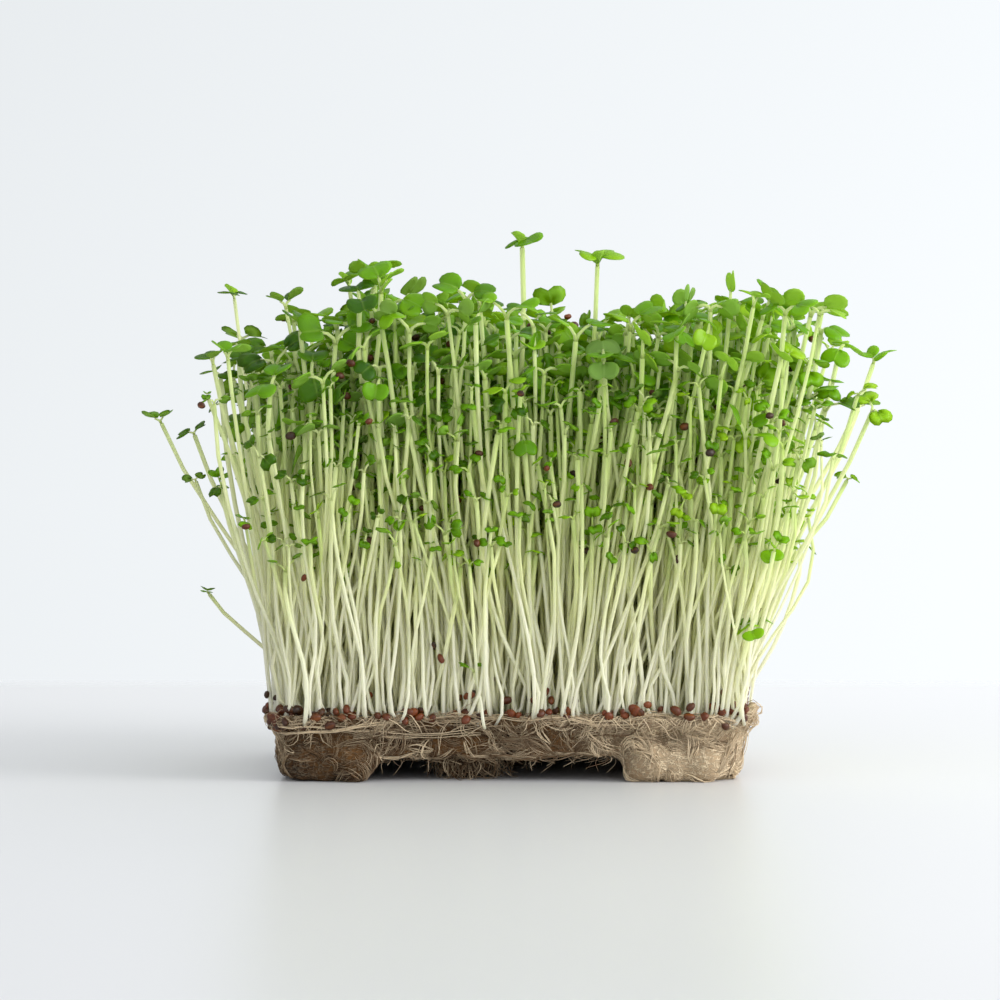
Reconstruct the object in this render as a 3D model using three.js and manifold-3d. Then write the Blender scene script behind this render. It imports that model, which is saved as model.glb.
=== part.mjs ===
// A block of microgreens lifted out of its punnet: a felt growing mat that kept the punnet's shape,
// tufts of sprouts rooted in plain holes in the mat, and the seed hulls left lying on its top.
// Millimetres, +Z up, +X to the right, -Y to the front.
// The origin is the middle of the mat's underside, on the surface that the block stands on.
import * as THREE from "three";
import { mergeVertices } from "three/addons/utils/BufferGeometryUtils.js";
import Module from "manifold-3d";

const wasm = await Module();
wasm.setup();

// The mat
const MAT_WIDTH = 100;
const MAT_DEPTH = 78;
const MAT_TOP = 13;
const CORNER_RADIUS = 10;
const CORNER_STEPS = 3;
const EDGE_STEPS = 4;
const WALL_WAVE = 0.009;
const WAVE_TURN = 2.3;
const WAVE_SHIFT = 1.9;
// Height of each ring of the mat's side, and how far it stands in from the lip
const WALL_RINGS = [
  [0, 4.6],
  [1.6, 3.2],
  [9.4, 2.4],
  [11.3, 0.4],
  [MAT_TOP, 0.2],
];

// The recess under the mat, which leaves corner feet and three middle feet: each middle foot's place
// and radius
const FOOT_HEIGHT = 5;
const FOOT_ROUND = 7;
const FOOT_FLARE = 1.5;
const RECESS_LEFT = -28;
const RECESS_RIGHT = 22.5;
const RECESS_FRONT = -19;
const RECESS_BACK = 19;
const MIDDLE_FEET = [
  [-9, -25, 7],
  [0, 0, 8],
  [-7, 25, 7],
];
const FOOT_SIDES = 10;

// Tufts of sprouts: a grid of holes in the mat, each with one tuft of roots
const COLUMNS = 9;
const ROWS = 6;
const COLUMN_PITCH = 11.2;
const ROW_PITCH = 12.8;
const ROOT_RADIUS = 3.4;
const ROOT_TAPER = 0.72;
const ROOT_DEPTH = 6;
const ROOT_PROUD = 0.4;
const ROOT_SIDES = 5;
const GAP = 0.35;
const STEMS_PER_TUFT = 3;
const STEM_SPREAD = 1.7;

// Stems
const STEM_RADIUS = 0.6;
const STEM_SIDES = 3;
const STEM_STEP = 26;
const STEM_SUNK = 2.5;
const STEM_RISE = 0.38;
const STEM_BOW = 3.5;
const STEM_PULL = 0.25;
const ROOT_TURN = 0.25;

// Seed leaves, at full size: a quarter of the outline of the pair, along and across it,
// from the neck over the stem to the notch between a leaf's two lobes
const NECK = [0, 1.0];
const LOBE = [
  [1.9, 3.5],
  [4.9, 3.0],
];
const NOTCH = [4.3, 0];
const BLADE_THICKNESS = 0.6;
const BLADE_CUP = 0.035;
const BLADE_DROOP = 0.03;

// Where the leaves of a tuft's three sprouts open: lowest and highest, and their sizes
const HEIGHT_BANDS = [
  [84, 98],
  [66, 87],
  [44, 70],
];
const SIZE_BANDS = [
  [0.8, 1.08],
  [0.65, 0.95],
  [0.42, 0.7],
];
const LOWEST_BAND = 2;
const CANOPY_HEIGHT = 98;
const FAN = 0.3;
const FAN_POWER = 1.5;
const WANDER = 6.5;
const RISE_BAND = [-12, 42];
const ROLL_BAND = [-28, 28];
const SEED = 20771;

// Sprouts that stand out of the block: column and row of the tuft, where the leaves open, leaf size
const OUTLIERS = [
  { tuft: [4, 1], tip: [3, -20, 109], size: 1.0 },
  { tuft: [5, 1], tip: [17, -18, 105], size: 1.0 },
  { tuft: [8, 1], tip: [66, -15, 98], size: 1.0 },
  { tuft: [8, 2], tip: [77, -8, 87], size: 0.85 },
  { tuft: [8, 3], tip: [76, 8, 77], size: 0.8 },
  { tuft: [8, 2], tip: [74, 3, 60], size: 0.55 },
  { tuft: [8, 0], tip: [50, -36, 32], size: 0.85 },
  { tuft: [8, 4], tip: [70, 17, 90], size: 0.95 },
  { tuft: [8, 3], tip: [62, 8, 95], size: 0.8 },
  { tuft: [0, 3], tip: [-76, 14, 75], size: 0.75 },
  { tuft: [0, 2], tip: [-69, 6, 71], size: 0.7 },
  { tuft: [0, 2], tip: [-66, -4, 61], size: 0.5 },
  { tuft: [0, 1], tip: [-63, -10, 37], size: 0.5 },
  { tuft: [0, 3], tip: [-60, 5, 101], size: 0.8 },
  { tuft: [0, 4], tip: [-58, 12, 93], size: 1.0 },
  { tuft: [2, 1], tip: [-35, -15, 102], size: 0.95 },
  { tuft: [2, 0], tip: [-27, -27, 104], size: 1.05 },
  { tuft: [4, 0], tip: [-7, -30, 97], size: 1.05 },
  { tuft: [7, 1], tip: [47, -12, 99], size: 1.0 },
  { tuft: [7, 2], tip: [40, 0, 98], size: 0.95 },
  { tuft: [5, 0], tip: [17, -41, 84], size: 0.95 },
];

// How close two sprouts may come, as balls strung along a stem and spread over a leaf
const STEM_BALL = 1.1;
const STEM_BALL_STEP = 1.5;
const LEAF_BALL = 1.4;
const LEAF_BALLS = [
  [1.2, 0],
  [3.4, 0],
  [2.4, 2.4],
  [2.4, -2.4],
  [4.4, 2.4],
  [4.4, -2.4],
];
const BALL_CELL = 3;
const TRIES = 90;
const CLEAR_ABOVE_MAT = 2;
const OUTLIER_STRAY = 1.5;

// Seed hulls, on the mat between the tufts
const HULL_RADIUS = 1.05;
const HULL_STRETCH = [1.15, 0.95, 0.85];
const HULL_WANDER = 1.1;
const HULL_PROUD = 0.45;

// Roots that run over the mat's front and back: height, from and to where, and how far they wave
const ROOT_STRANDS = [
  { side: -1, height: 10.4, from: -44, to: 6, wave: 1.1 },
  { side: -1, height: 9.2, from: -8, to: 44, wave: 1.2 },
  { side: -1, height: 7.2, from: -40, to: -6, wave: 1.0 },
  { side: -1, height: 6.9, from: 10, to: 42, wave: 0.9 },
  { side: 1, height: 10.2, from: -42, to: 12, wave: 1.1 },
  { side: 1, height: 8.4, from: -6, to: 44, wave: 1.2 },
];
const STRAND_RADIUS = 0.6;
const STRAND_SIDES = 4;
const STRAND_STEP = 6;
const STRAND_TURN = 0.23;

const matFelt = new THREE.MeshStandardMaterial({ color: 0x8a7863, roughness: 0.95, metalness: 0 });
const paleStem = new THREE.MeshStandardMaterial({ color: 0x9cba62, roughness: 0.5, metalness: 0 });

// A seeded random draw between two values
function makeRandom(seed) {
  let state = seed;
  return (low, high) => {
    state = (Math.imul(state, 1664525) + 1013904223) >>> 0;
    return low + ((high - low) * state) / 4294967296;
  };
}

// A closed three.js geometry as a solid that can be joined and cut
function toSolid(geometry) {
  const bare = geometry.index ? geometry.toNonIndexed() : geometry.clone();
  bare.deleteAttribute("normal");
  bare.deleteAttribute("uv");
  const merged = mergeVertices(bare, 1e-4);
  return new wasm.Manifold(
    new wasm.Mesh({
      numProp: 3,
      vertProperties: new Float32Array(merged.attributes.position.array),
      triVerts: new Uint32Array(merged.index.array),
    }),
  );
}

// A joined or cut solid as a three.js geometry
function toGeometry(solid) {
  const mesh = solid.getMesh();
  const geometry = new THREE.BufferGeometry();
  geometry.setAttribute("position", new THREE.BufferAttribute(mesh.vertProperties, 3));
  geometry.setIndex(new THREE.BufferAttribute(mesh.triVerts, 1));
  geometry.computeVertexNormals();
  return geometry;
}

// A regular polygon section for a stem or a strand
function roundShape(radius, sides) {
  const shape = new THREE.Shape();
  for (let i = 0; i < sides; i++) {
    const angle = (i / sides) * Math.PI * 2;
    shape[i ? "lineTo" : "moveTo"](radius * Math.cos(angle), radius * Math.sin(angle));
  }
  return shape;
}

function tubeSolid(curve, radius, sides, steps) {
  const settings = { steps, extrudePath: curve, bevelEnabled: false };
  return toSolid(new THREE.ExtrudeGeometry(roundShape(radius, sides), settings));
}

// An upright prism or cone whose foot is at the given place
function postSolid(x, y, foot, height, topRadius, footRadius, sides) {
  const geometry = new THREE.CylinderGeometry(topRadius, footRadius, height, sides);
  geometry.rotateX(Math.PI / 2);
  geometry.translate(x, y, foot + height / 2);
  return toSolid(geometry);
}

function boxSolid(left, right, front, back, low, high) {
  const geometry = new THREE.BoxGeometry(right - left, back - front, high - low);
  geometry.translate((left + right) / 2, (front + back) / 2, (low + high) / 2);
  return toSolid(geometry);
}

// Points round a rounded rectangle that stands in by inset from the mat's lip
function matOutline(inset) {
  const points = [];
  const halfWidth = MAT_WIDTH / 2 - CORNER_RADIUS;
  const halfDepth = MAT_DEPTH / 2 - CORNER_RADIUS;
  const radius = CORNER_RADIUS - inset;
  const corners = [
    [halfWidth, -halfDepth],
    [halfWidth, halfDepth],
    [-halfWidth, halfDepth],
    [-halfWidth, -halfDepth],
  ];
  corners.forEach(([x, y], corner) => {
    for (let i = 0; i <= CORNER_STEPS; i++) {
      const angle = ((corner - 1 + i / CORNER_STEPS) * Math.PI) / 2;
      points.push(new THREE.Vector2(x + radius * Math.cos(angle), y + radius * Math.sin(angle)));
    }
    const [nextX, nextY] = corners[(corner + 1) % corners.length];
    const along = new THREE.Vector2(nextX - x, nextY - y);
    const start = points[points.length - 1];
    for (let i = 1; i < EDGE_STEPS; i++) {
      points.push(start.clone().addScaledVector(along, i / EDGE_STEPS));
    }
  });
  return points;
}

// The mat's outer form: rings of its wavy outline, closed by a flat top and a flat bottom
function matBlock() {
  const rings = WALL_RINGS.map(([height, inset], ring) =>
    matOutline(inset).map((point, i) => {
      const wave = 1 + WALL_WAVE * Math.sin(i * WAVE_TURN + ring * WAVE_SHIFT);
      return new THREE.Vector3(point.x * wave, point.y * wave, height);
    }),
  );
  const count = rings[0].length;
  const positions = rings.flat().flatMap((point) => point.toArray());
  const faces = [];
  for (let ring = 0; ring < rings.length - 1; ring++) {
    for (let i = 0; i < count; i++) {
      const a = ring * count + i;
      const b = ring * count + ((i + 1) % count);
      faces.push(a, b, b + count, a, b + count, a + count);
    }
  }
  const cap = (ring) => rings[ring].map((point) => new THREE.Vector2(point.x, point.y));
  const lift = (rings.length - 1) * count;
  for (const [a, b, c] of THREE.ShapeUtils.triangulateShape(cap(0), [])) {
    faces.push(c, b, a);
  }
  for (const [a, b, c] of THREE.ShapeUtils.triangulateShape(cap(rings.length - 1), [])) {
    faces.push(lift + a, lift + b, lift + c);
  }
  const geometry = new THREE.BufferGeometry();
  geometry.setAttribute("position", new THREE.Float32BufferAttribute(positions, 3));
  geometry.setIndex(faces);
  return toSolid(geometry);
}

// A corner foot's plan, from its rounded inner corner out past the mat's edges, as a tall block
function cornerFootSolid(innerX, innerY) {
  const [sideX, sideY] = [Math.sign(innerX), Math.sign(innerY)];
  const shape = new THREE.Shape();
  shape.moveTo(sideX * MAT_WIDTH, innerY);
  shape.lineTo(innerX + sideX * FOOT_ROUND, innerY);
  shape.quadraticCurveTo(innerX, innerY, innerX, innerY + sideY * FOOT_ROUND);
  shape.lineTo(innerX, sideY * MAT_WIDTH);
  shape.lineTo(sideX * MAT_WIDTH, sideY * MAT_WIDTH);
  const settings = { depth: FOOT_HEIGHT + 3, bevelEnabled: false, curveSegments: 3 };
  const geometry = new THREE.ExtrudeGeometry(shape, settings);
  geometry.translate(0, 0, -2);
  return toSolid(geometry);
}

// What is hollow under the mat: all of its lowest layer, less the feet that stand in it
function recessSolid() {
  const wide = MAT_WIDTH;
  let recess = boxSolid(-wide, wide, -wide, wide, -1, FOOT_HEIGHT);
  for (const innerX of [RECESS_LEFT, RECESS_RIGHT]) {
    for (const innerY of [RECESS_FRONT, RECESS_BACK]) {
      recess = recess.subtract(cornerFootSolid(innerX, innerY));
    }
  }
  for (const [x, y, radius] of MIDDLE_FEET) {
    const flared = radius + FOOT_FLARE;
    recess = recess.subtract(postSolid(x, y, -2, FOOT_HEIGHT + 3, flared, radius, FOOT_SIDES));
  }
  return recess;
}

function tuftCentre(column, row) {
  return [(column - (COLUMNS - 1) / 2) * COLUMN_PITCH, (row - (ROWS - 1) / 2) * ROW_PITCH];
}

// The seed hulls lie where four tufts meet, a little out of line: at each such place along the front
// and at every other one behind
function hullPlaces() {
  const random = makeRandom(SEED + 1);
  const places = [];
  for (let column = 0; column < COLUMNS - 1; column++) {
    for (let row = 0; row < ROWS - 1; row++) {
      if (row > 0 && (column + row) % 2) continue;
      const [x, y] = tuftCentre(column + 0.5, row + 0.5);
      places.push([x + random(-HULL_WANDER, HULL_WANDER), y + random(-HULL_WANDER, HULL_WANDER)]);
    }
  }
  return places;
}

function hullSolid([x, y]) {
  const geometry = new THREE.IcosahedronGeometry(HULL_RADIUS, 0);
  geometry.scale(...HULL_STRETCH);
  geometry.rotateZ(x * 2 + y);
  geometry.translate(x, y, MAT_TOP + HULL_PROUD);
  return toSolid(geometry);
}

// A root half sunk in the mat's front or back face
function strandSolid({ side, height, from, to, wave }) {
  const points = [];
  const steps = Math.round((to - from) / STRAND_STEP);
  const face = side * (MAT_DEPTH / 2 - WALL_RINGS[2][1]);
  for (let i = 0; i <= steps; i++) {
    const x = from + ((to - from) * i) / steps;
    const ends = i === 0 || i === steps ? -side : 0;
    const rise = wave * Math.sin(x * STRAND_TURN + height);
    points.push(new THREE.Vector3(x, face + ends, height + rise));
  }
  return tubeSolid(new THREE.CatmullRomCurve3(points), STRAND_RADIUS, STRAND_SIDES, steps);
}

function growingMat() {
  let solid = matBlock().subtract(recessSolid());
  for (const strand of ROOT_STRANDS) {
    solid = solid.add(strandSolid(strand));
  }
  for (const place of hullPlaces()) {
    solid = solid.add(hullSolid(place));
  }
  for (let column = 0; column < COLUMNS; column++) {
    for (let row = 0; row < ROWS; row++) {
      const [x, y] = tuftCentre(column, row);
      const foot = MAT_TOP - ROOT_DEPTH - GAP;
      const top = ROOT_RADIUS + GAP;
      const height = ROOT_DEPTH + GAP + 1;
      solid = solid.subtract(postSolid(x, y, foot, height, top, top * ROOT_TAPER, ROOT_SIDES));
    }
  }
  const mesh = new THREE.Mesh(toGeometry(solid), matFelt);
  mesh.name = "growing_mat";
  return mesh;
}

// A stem's centre line, from inside the root tuft up to where the leaves open
function stemCurve(root, tip, bow) {
  const [rx, ry] = root;
  const [tx, ty, tz] = tip;
  const rise = (tz - MAT_TOP) * STEM_RISE;
  return new THREE.CubicBezierCurve3(
    new THREE.Vector3(rx, ry, MAT_TOP - STEM_SUNK),
    new THREE.Vector3(rx + bow[0], ry + bow[1], MAT_TOP + rise),
    new THREE.Vector3(tx + (rx - tx) * STEM_PULL, ty + (ry - ty) * STEM_PULL, tz - rise),
    new THREE.Vector3(tx, ty, tz),
  );
}

// The three directions of one leaf: along it, across it and out of its upper face
function leafAxes(turn, rise, roll) {
  const along = new THREE.Vector3(
    Math.cos(rise) * Math.cos(turn),
    Math.cos(rise) * Math.sin(turn),
    Math.sin(rise),
  );
  const level = new THREE.Vector3(-Math.sin(turn), Math.cos(turn), 0);
  const up = new THREE.Vector3().crossVectors(along, level);
  const across = level.clone().multiplyScalar(Math.cos(roll)).addScaledVector(up, Math.sin(roll));
  return { along, across, out: new THREE.Vector3().crossVectors(along, across) };
}

// A point of a leaf: u along it, v across it, w above its middle surface, all in millimetres
function leafPoint(tip, axes, u, v, w) {
  const bend = BLADE_CUP * v * v - BLADE_DROOP * u * u;
  return new THREE.Vector3(...tip)
    .addScaledVector(axes.along, u)
    .addScaledVector(axes.across, v)
    .addScaledVector(axes.out, w + bend);
}

function bothLeaves(sprout) {
  return [
    leafAxes(sprout.turn, sprout.rises[0], sprout.roll),
    leafAxes(sprout.turn + Math.PI, sprout.rises[1], -sprout.roll),
  ];
}

// The flat outline of a pair of leaves, which lie opposite each other over the stem
function pairShape() {
  const [back, lobe] = [[...LOBE].reverse(), LOBE];
  const outline = [
    ...lobe.map(([u, v]) => [u, -v]),
    NOTCH,
    ...back,
    NECK,
    ...lobe.map(([u, v]) => [-u, v]),
    [-NOTCH[0], 0],
    ...back.map(([u, v]) => [-u, -v]),
    [NECK[0], -NECK[1]],
  ];
  return new THREE.Shape(outline.map(([u, v]) => new THREE.Vector2(u, v)));
}

// A pair of leaves as one thin blade, folded at the neck and cupped
function leafPairSolid(sprout) {
  const settings = { depth: BLADE_THICKNESS, bevelEnabled: false, steps: 1 };
  const geometry = new THREE.ExtrudeGeometry(pairShape(), settings);
  const place = geometry.attributes.position;
  const [near, far] = bothLeaves(sprout);
  for (let i = 0; i < place.count; i++) {
    const u = place.getX(i) * sprout.size;
    const v = place.getY(i) * sprout.size;
    const w = place.getZ(i) - BLADE_THICKNESS / 2;
    const point = u < 0 ? leafPoint(sprout.tip, far, -u, -v, w) : leafPoint(sprout.tip, near, u, v, w);
    place.setXYZ(i, ...point.toArray());
  }
  return toSolid(geometry);
}

// The balls that stand for a sprout when its room is tested
function sproutBalls(sprout) {
  const balls = [];
  const length = sprout.tip[2] - MAT_TOP;
  const steps = Math.ceil(length / STEM_BALL_STEP);
  for (let i = 0; i < steps; i++) {
    const point = sprout.stem.getPoint(i / steps);
    if (point.z > MAT_TOP + CLEAR_ABOVE_MAT) balls.push([...point.toArray(), STEM_BALL]);
  }
  for (const axes of bothLeaves(sprout)) {
    for (const [u, v] of LEAF_BALLS) {
      const point = leafPoint(sprout.tip, axes, u * sprout.size, v * sprout.size, 0);
      balls.push([...point.toArray(), LEAF_BALL]);
    }
  }
  return balls;
}

// The room taken so far, as balls sorted into cells
class Room {
  constructor() {
    this.cells = new Map();
  }

  cellOf(x, y, z) {
    return [x, y, z].map((value) => Math.floor(value / BALL_CELL));
  }

  add(balls) {
    for (const ball of balls) {
      const key = this.cellOf(...ball).join();
      if (!this.cells.has(key)) this.cells.set(key, []);
      this.cells.get(key).push(ball);
    }
  }

  isClear([x, y, z, radius]) {
    const [i, j, k] = this.cellOf(x, y, z);
    for (let a = i - 1; a <= i + 1; a++) {
      for (let b = j - 1; b <= j + 1; b++) {
        for (let c = k - 1; c <= k + 1; c++) {
          for (const [px, py, pz, other] of this.cells.get([a, b, c].join()) ?? []) {
            const near = (px - x) ** 2 + (py - y) ** 2 + (pz - z) ** 2;
            if (near < (radius + other) ** 2) return false;
          }
        }
      }
    }
    return true;
  }
}

// The next sprout of a tuft: tried again with other draws until it is clear of the sprouts before it
function placeSprout(random, room, root, wanted) {
  const radians = Math.PI / 180;
  for (let attempt = 0; attempt < TRIES; attempt++) {
    const tip = wanted.tip(random);
    const bow = [random(-STEM_BOW, STEM_BOW), random(-STEM_BOW, STEM_BOW)];
    const sprout = {
      tip,
      size: wanted.size(random),
      stem: stemCurve(root, tip, bow),
      turn: random(0, 2 * Math.PI),
      rises: [random(...RISE_BAND) * radians, random(...RISE_BAND) * radians],
      roll: random(...ROLL_BAND) * radians,
    };
    const balls = sproutBalls(sprout);
    if (balls.every((ball) => room.isClear(ball))) {
      room.add(balls);
      return sprout;
    }
  }
  return null;
}

function outlierWish({ tip: [x, y, z], size }) {
  const near = (random, value) => random(value - OUTLIER_STRAY, value + OUTLIER_STRAY);
  return {
    tip: (random) => [near(random, x), near(random, y), near(random, z)],
    size: () => size,
  };
}

function fannedWish([x, y], band) {
  return {
    tip: (random) => {
      const z = random(...HEIGHT_BANDS[band]);
      const fan = 1 + FAN * (z / CANOPY_HEIGHT) ** FAN_POWER;
      return [x * fan + random(-WANDER, WANDER), y * fan + random(-WANDER, WANDER), z];
    },
    size: (random) => random(...SIZE_BANDS[band]),
  };
}

// How many tufts stand between this one and the nearest edge of the mat
function ringOf({ row, column }) {
  return Math.min(row, ROWS - 1 - row, column, COLUMNS - 1 - column);
}

// Every tuft's sprouts: the outliers are placed first, then the rest from the tallest band down.
// The lowest band is only at the edge, because no light reaches such leaves further in.
function placeTufts() {
  const random = makeRandom(SEED);
  const room = new Room();
  const tufts = [];
  for (let row = 0; row < ROWS; row++) {
    for (let column = 0; column < COLUMNS; column++) {
      tufts.push({ row, column, centre: tuftCentre(column, row), sprouts: [], wanting: 0 });
    }
  }
  const rootOf = (tuft) => {
    const angle = ((tuft.wanting + ROOT_TURN) / STEMS_PER_TUFT) * 2 * Math.PI;
    tuft.wanting += 1;
    return [
      tuft.centre[0] + STEM_SPREAD * Math.cos(angle),
      tuft.centre[1] + STEM_SPREAD * Math.sin(angle),
    ];
  };
  const grow = (tuft, wish) => {
    const sprout = placeSprout(random, room, rootOf(tuft), wish);
    if (sprout) tuft.sprouts.push(sprout);
  };
  for (const outlier of OUTLIERS) {
    const [column, row] = outlier.tuft;
    grow(tufts[row * COLUMNS + column], outlierWish(outlier));
  }
  for (let band = 0; band < STEMS_PER_TUFT; band++) {
    for (const tuft of tufts) {
      const shaded = band === LOWEST_BAND && ringOf(tuft) > 0;
      if (tuft.wanting <= band && !shaded) grow(tuft, fannedWish(tuft.centre, band));
    }
  }
  return tufts;
}

// One tuft: its roots in the hole, and its stems and leaves fused to them
function tuftMesh({ row, column, centre: [x, y], sprouts }) {
  const foot = MAT_TOP - ROOT_DEPTH;
  const height = ROOT_DEPTH + ROOT_PROUD;
  const footRadius = ROOT_RADIUS * ROOT_TAPER;
  let solid = postSolid(x, y, foot, height, ROOT_RADIUS, footRadius, ROOT_SIDES);
  for (const sprout of sprouts) {
    const steps = Math.round(sprout.stem.getLength() / STEM_STEP);
    solid = solid.add(tubeSolid(sprout.stem, STEM_RADIUS, STEM_SIDES, steps));
    solid = solid.add(leafPairSolid(sprout));
  }
  const geometry = toGeometry(solid);
  geometry.translate(-x, -y, -MAT_TOP);
  const mesh = new THREE.Mesh(geometry, paleStem);
  mesh.position.set(x, y, MAT_TOP);
  mesh.name = `sprouts_row${row + 1}_col${column + 1}`;
  return mesh;
}

const sproutGroup = new THREE.Group();
for (const tuft of placeTufts()) {
  sproutGroup.add(tuftMesh(tuft));
}

const microgreens = new THREE.Group();
microgreens.add(growingMat(), sproutGroup);

export default microgreens;
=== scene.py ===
# A free-standing block of microgreens on its felt growing mat, dressed for a picture.
# Laid out as a Blender add-on and run as a script. Lengths are in millimetres until a mesh is made.
import math

import bpy
import numpy as np
from mathutils import Matrix, Vector, noise
from mathutils.bvhtree import BVHTree


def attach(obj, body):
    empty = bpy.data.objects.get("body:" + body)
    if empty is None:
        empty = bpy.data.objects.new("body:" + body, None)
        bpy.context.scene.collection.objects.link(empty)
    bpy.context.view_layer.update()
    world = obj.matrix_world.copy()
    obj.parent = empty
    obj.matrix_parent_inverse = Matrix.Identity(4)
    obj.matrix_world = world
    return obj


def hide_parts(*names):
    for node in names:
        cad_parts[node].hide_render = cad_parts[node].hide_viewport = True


bl_info = {
    "name": "Microgreens block",
    "version": (1, 0, 0),
    "blender": (4, 5, 0),
    "location": "View3D > Sidebar > Microgreens",
    "description": "Grows a block of young sprouts on a fibrous mat, with its roots, hulls and studio",
    "category": "Object",
}

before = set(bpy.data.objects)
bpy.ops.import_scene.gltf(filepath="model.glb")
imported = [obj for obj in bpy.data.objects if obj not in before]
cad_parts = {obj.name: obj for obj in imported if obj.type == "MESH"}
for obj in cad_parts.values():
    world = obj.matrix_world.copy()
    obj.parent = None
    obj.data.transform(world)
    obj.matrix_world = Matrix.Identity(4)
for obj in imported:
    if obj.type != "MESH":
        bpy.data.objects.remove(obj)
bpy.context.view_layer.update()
BODY = "root"
MM = 0.001

# The growing mat, as the solids have it
MAT_WIDTH = 100.0
MAT_DEPTH = 78.0
MAT_TOP = 13.0
CORNER_RADIUS = 10.0
WALL_RINGS = [(0.0, 4.6), (1.6, 3.2), (9.4, 2.4), (11.3, 0.4), (13.0, 0.2)]
FOOT_HEIGHT = 5.0
FOOT_ROUND = 6.0
RECESS_X = (-28.0, 22.5)
RECESS_Y = (-19.0, 19.0)
CORNER_STEPS = 6
SLAB_HEIGHTS = (FOOT_HEIGHT, 7.5, 9.6, 10.6, 11.4, 12.3, MAT_TOP)
CORNER_FOOT_HEIGHTS = (0.0, 0.5, 1.6, 4.0, FOOT_HEIGHT + 2)
# Height and share of its radius for each ring of a middle foot
MIDDLE_FOOT_RINGS = ((0.0, 0.5), (0.8, 0.7), (2.6, 0.85), (FOOT_HEIGHT, 1.15), (8.0, 1.35))
# Place and radius of each foot between the corner feet
MIDDLE_FEET = [(-9.0, -25.0, 7.0), (0.0, 0.0, 8.0), (-7.0, 25.0, 7.0)]
# Place and radius of the rounded bulges that the feet stand out in
BULGES = [
    (-31.6, -35.0, 3.6, 4.5),
    (-42.0, -34.4, 3.3, 4.0),
    (27.3, -35.2, 3.7, 4.9),
    (38.6, -35.0, 3.6, 4.7),
    (44.0, -25.0, 3.4, 3.8),
    (-44.0, -26.0, 3.4, 3.8),
    (44.0, 26.0, 3.4, 3.9),
    (-44.0, 28.0, 3.3, 3.7),
    (-35.0, 34.0, 3.4, 4.2),
    (31.0, 34.0, 3.5, 4.4),
    (-36.8, -34.3, 3.2, 3.9),
    (33.0, -34.9, 3.2, 4.1),
    (47.0, -34.4, 13.0, 1.5),
    (48.6, -32.0, 13.8, 1.4),
    (49.2, -29.6, 14.4, 1.3),
    (49.3, -27.2, 14.0, 1.2),
]
# Felt that hangs down behind and beside the hollow: lowest and highest x, lowest and highest y
SKIRTS = [(-31, 25, 29.5, 32.5), (-43.5, -40.5, -22, 22), (40.5, 43.5, -22, 22)]

# Fibres and felt: corners of a fibre's section, roughness of the noise in every material, how far from
# the felt a lock may start, and the felt's threads: scale, stretch and width
FIBRE_SIDES = 3
GRAIN_ROUGHNESS = 0.55
LOCK_REACH = 2.8
FELT_THREADS = [(260.0, (1, 1, 2.4), 0.03), (430.0, (1.6, 1.6, 0.7), 0.04), (700.0, (0.5, 0.5, 1.8), 0.05)]

# The sprouts that the solids hold: two or three to a tuft, drawn in the solids' own order
COLUMNS = 9
ROWS = 6
COLUMN_PITCH = 11.2
ROW_PITCH = 12.8
STEMS_PER_TUFT = 3
STEM_SPREAD = 1.7
STEM_SUNK = 2.5
STEM_RISE = 0.38
STEM_BOW = 3.5
STEM_PULL = 0.25
ROOT_TURN = 0.25
BLADE_CUP = 0.035
BLADE_DROOP = 0.03
HEIGHT_BANDS = [(84, 98), (66, 87), (44, 70)]
SIZE_BANDS = [(0.8, 1.08), (0.65, 0.95), (0.42, 0.7)]
LOWEST_BAND = 2
CANOPY_HEIGHT = 98
FAN = 0.3
FAN_POWER = 1.5
WANDER = 6.5
RISE_BAND = (-12, 42)
ROLL_BAND = (-28, 28)
SEED = 20771
OUTLIER_STRAY = 1.5
OUTLIERS = [
    ((4, 1), (3, -20, 109), 1.0),
    ((5, 1), (17, -18, 105), 1.0),
    ((8, 1), (66, -15, 98), 1.0),
    ((8, 2), (77, -8, 87), 0.85),
    ((8, 3), (76, 8, 77), 0.8),
    ((8, 2), (74, 3, 60), 0.55),
    ((8, 0), (50, -36, 32), 0.85),
    ((8, 4), (70, 17, 90), 0.95),
    ((8, 3), (62, 8, 95), 0.8),
    ((0, 3), (-76, 14, 75), 0.75),
    ((0, 2), (-69, 6, 71), 0.7),
    ((0, 2), (-66, -4, 61), 0.5),
    ((0, 1), (-63, -10, 37), 0.5),
    ((0, 3), (-60, 5, 101), 0.8),
    ((0, 4), (-58, 12, 93), 1.0),
    ((2, 1), (-35, -15, 102), 0.95),
    ((2, 0), (-27, -27, 104), 1.05),
    ((4, 0), (-7, -30, 97), 1.05),
    ((7, 1), (47, -12, 99), 1.0),
    ((7, 2), (40, 0, 98), 0.95),
    ((5, 0), (17, -41, 84), 0.95),
]
STEM_BALL = 1.1
STEM_BALL_STEP = 1.5
LEAF_BALL = 1.4
LEAF_BALLS = np.array([(1.2, 0), (3.4, 0), (2.4, 2.4), (2.4, -2.4), (4.4, 2.4), (4.4, -2.4)])
TRIES = 90
CLEAR_ABOVE_MAT = 2

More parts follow.
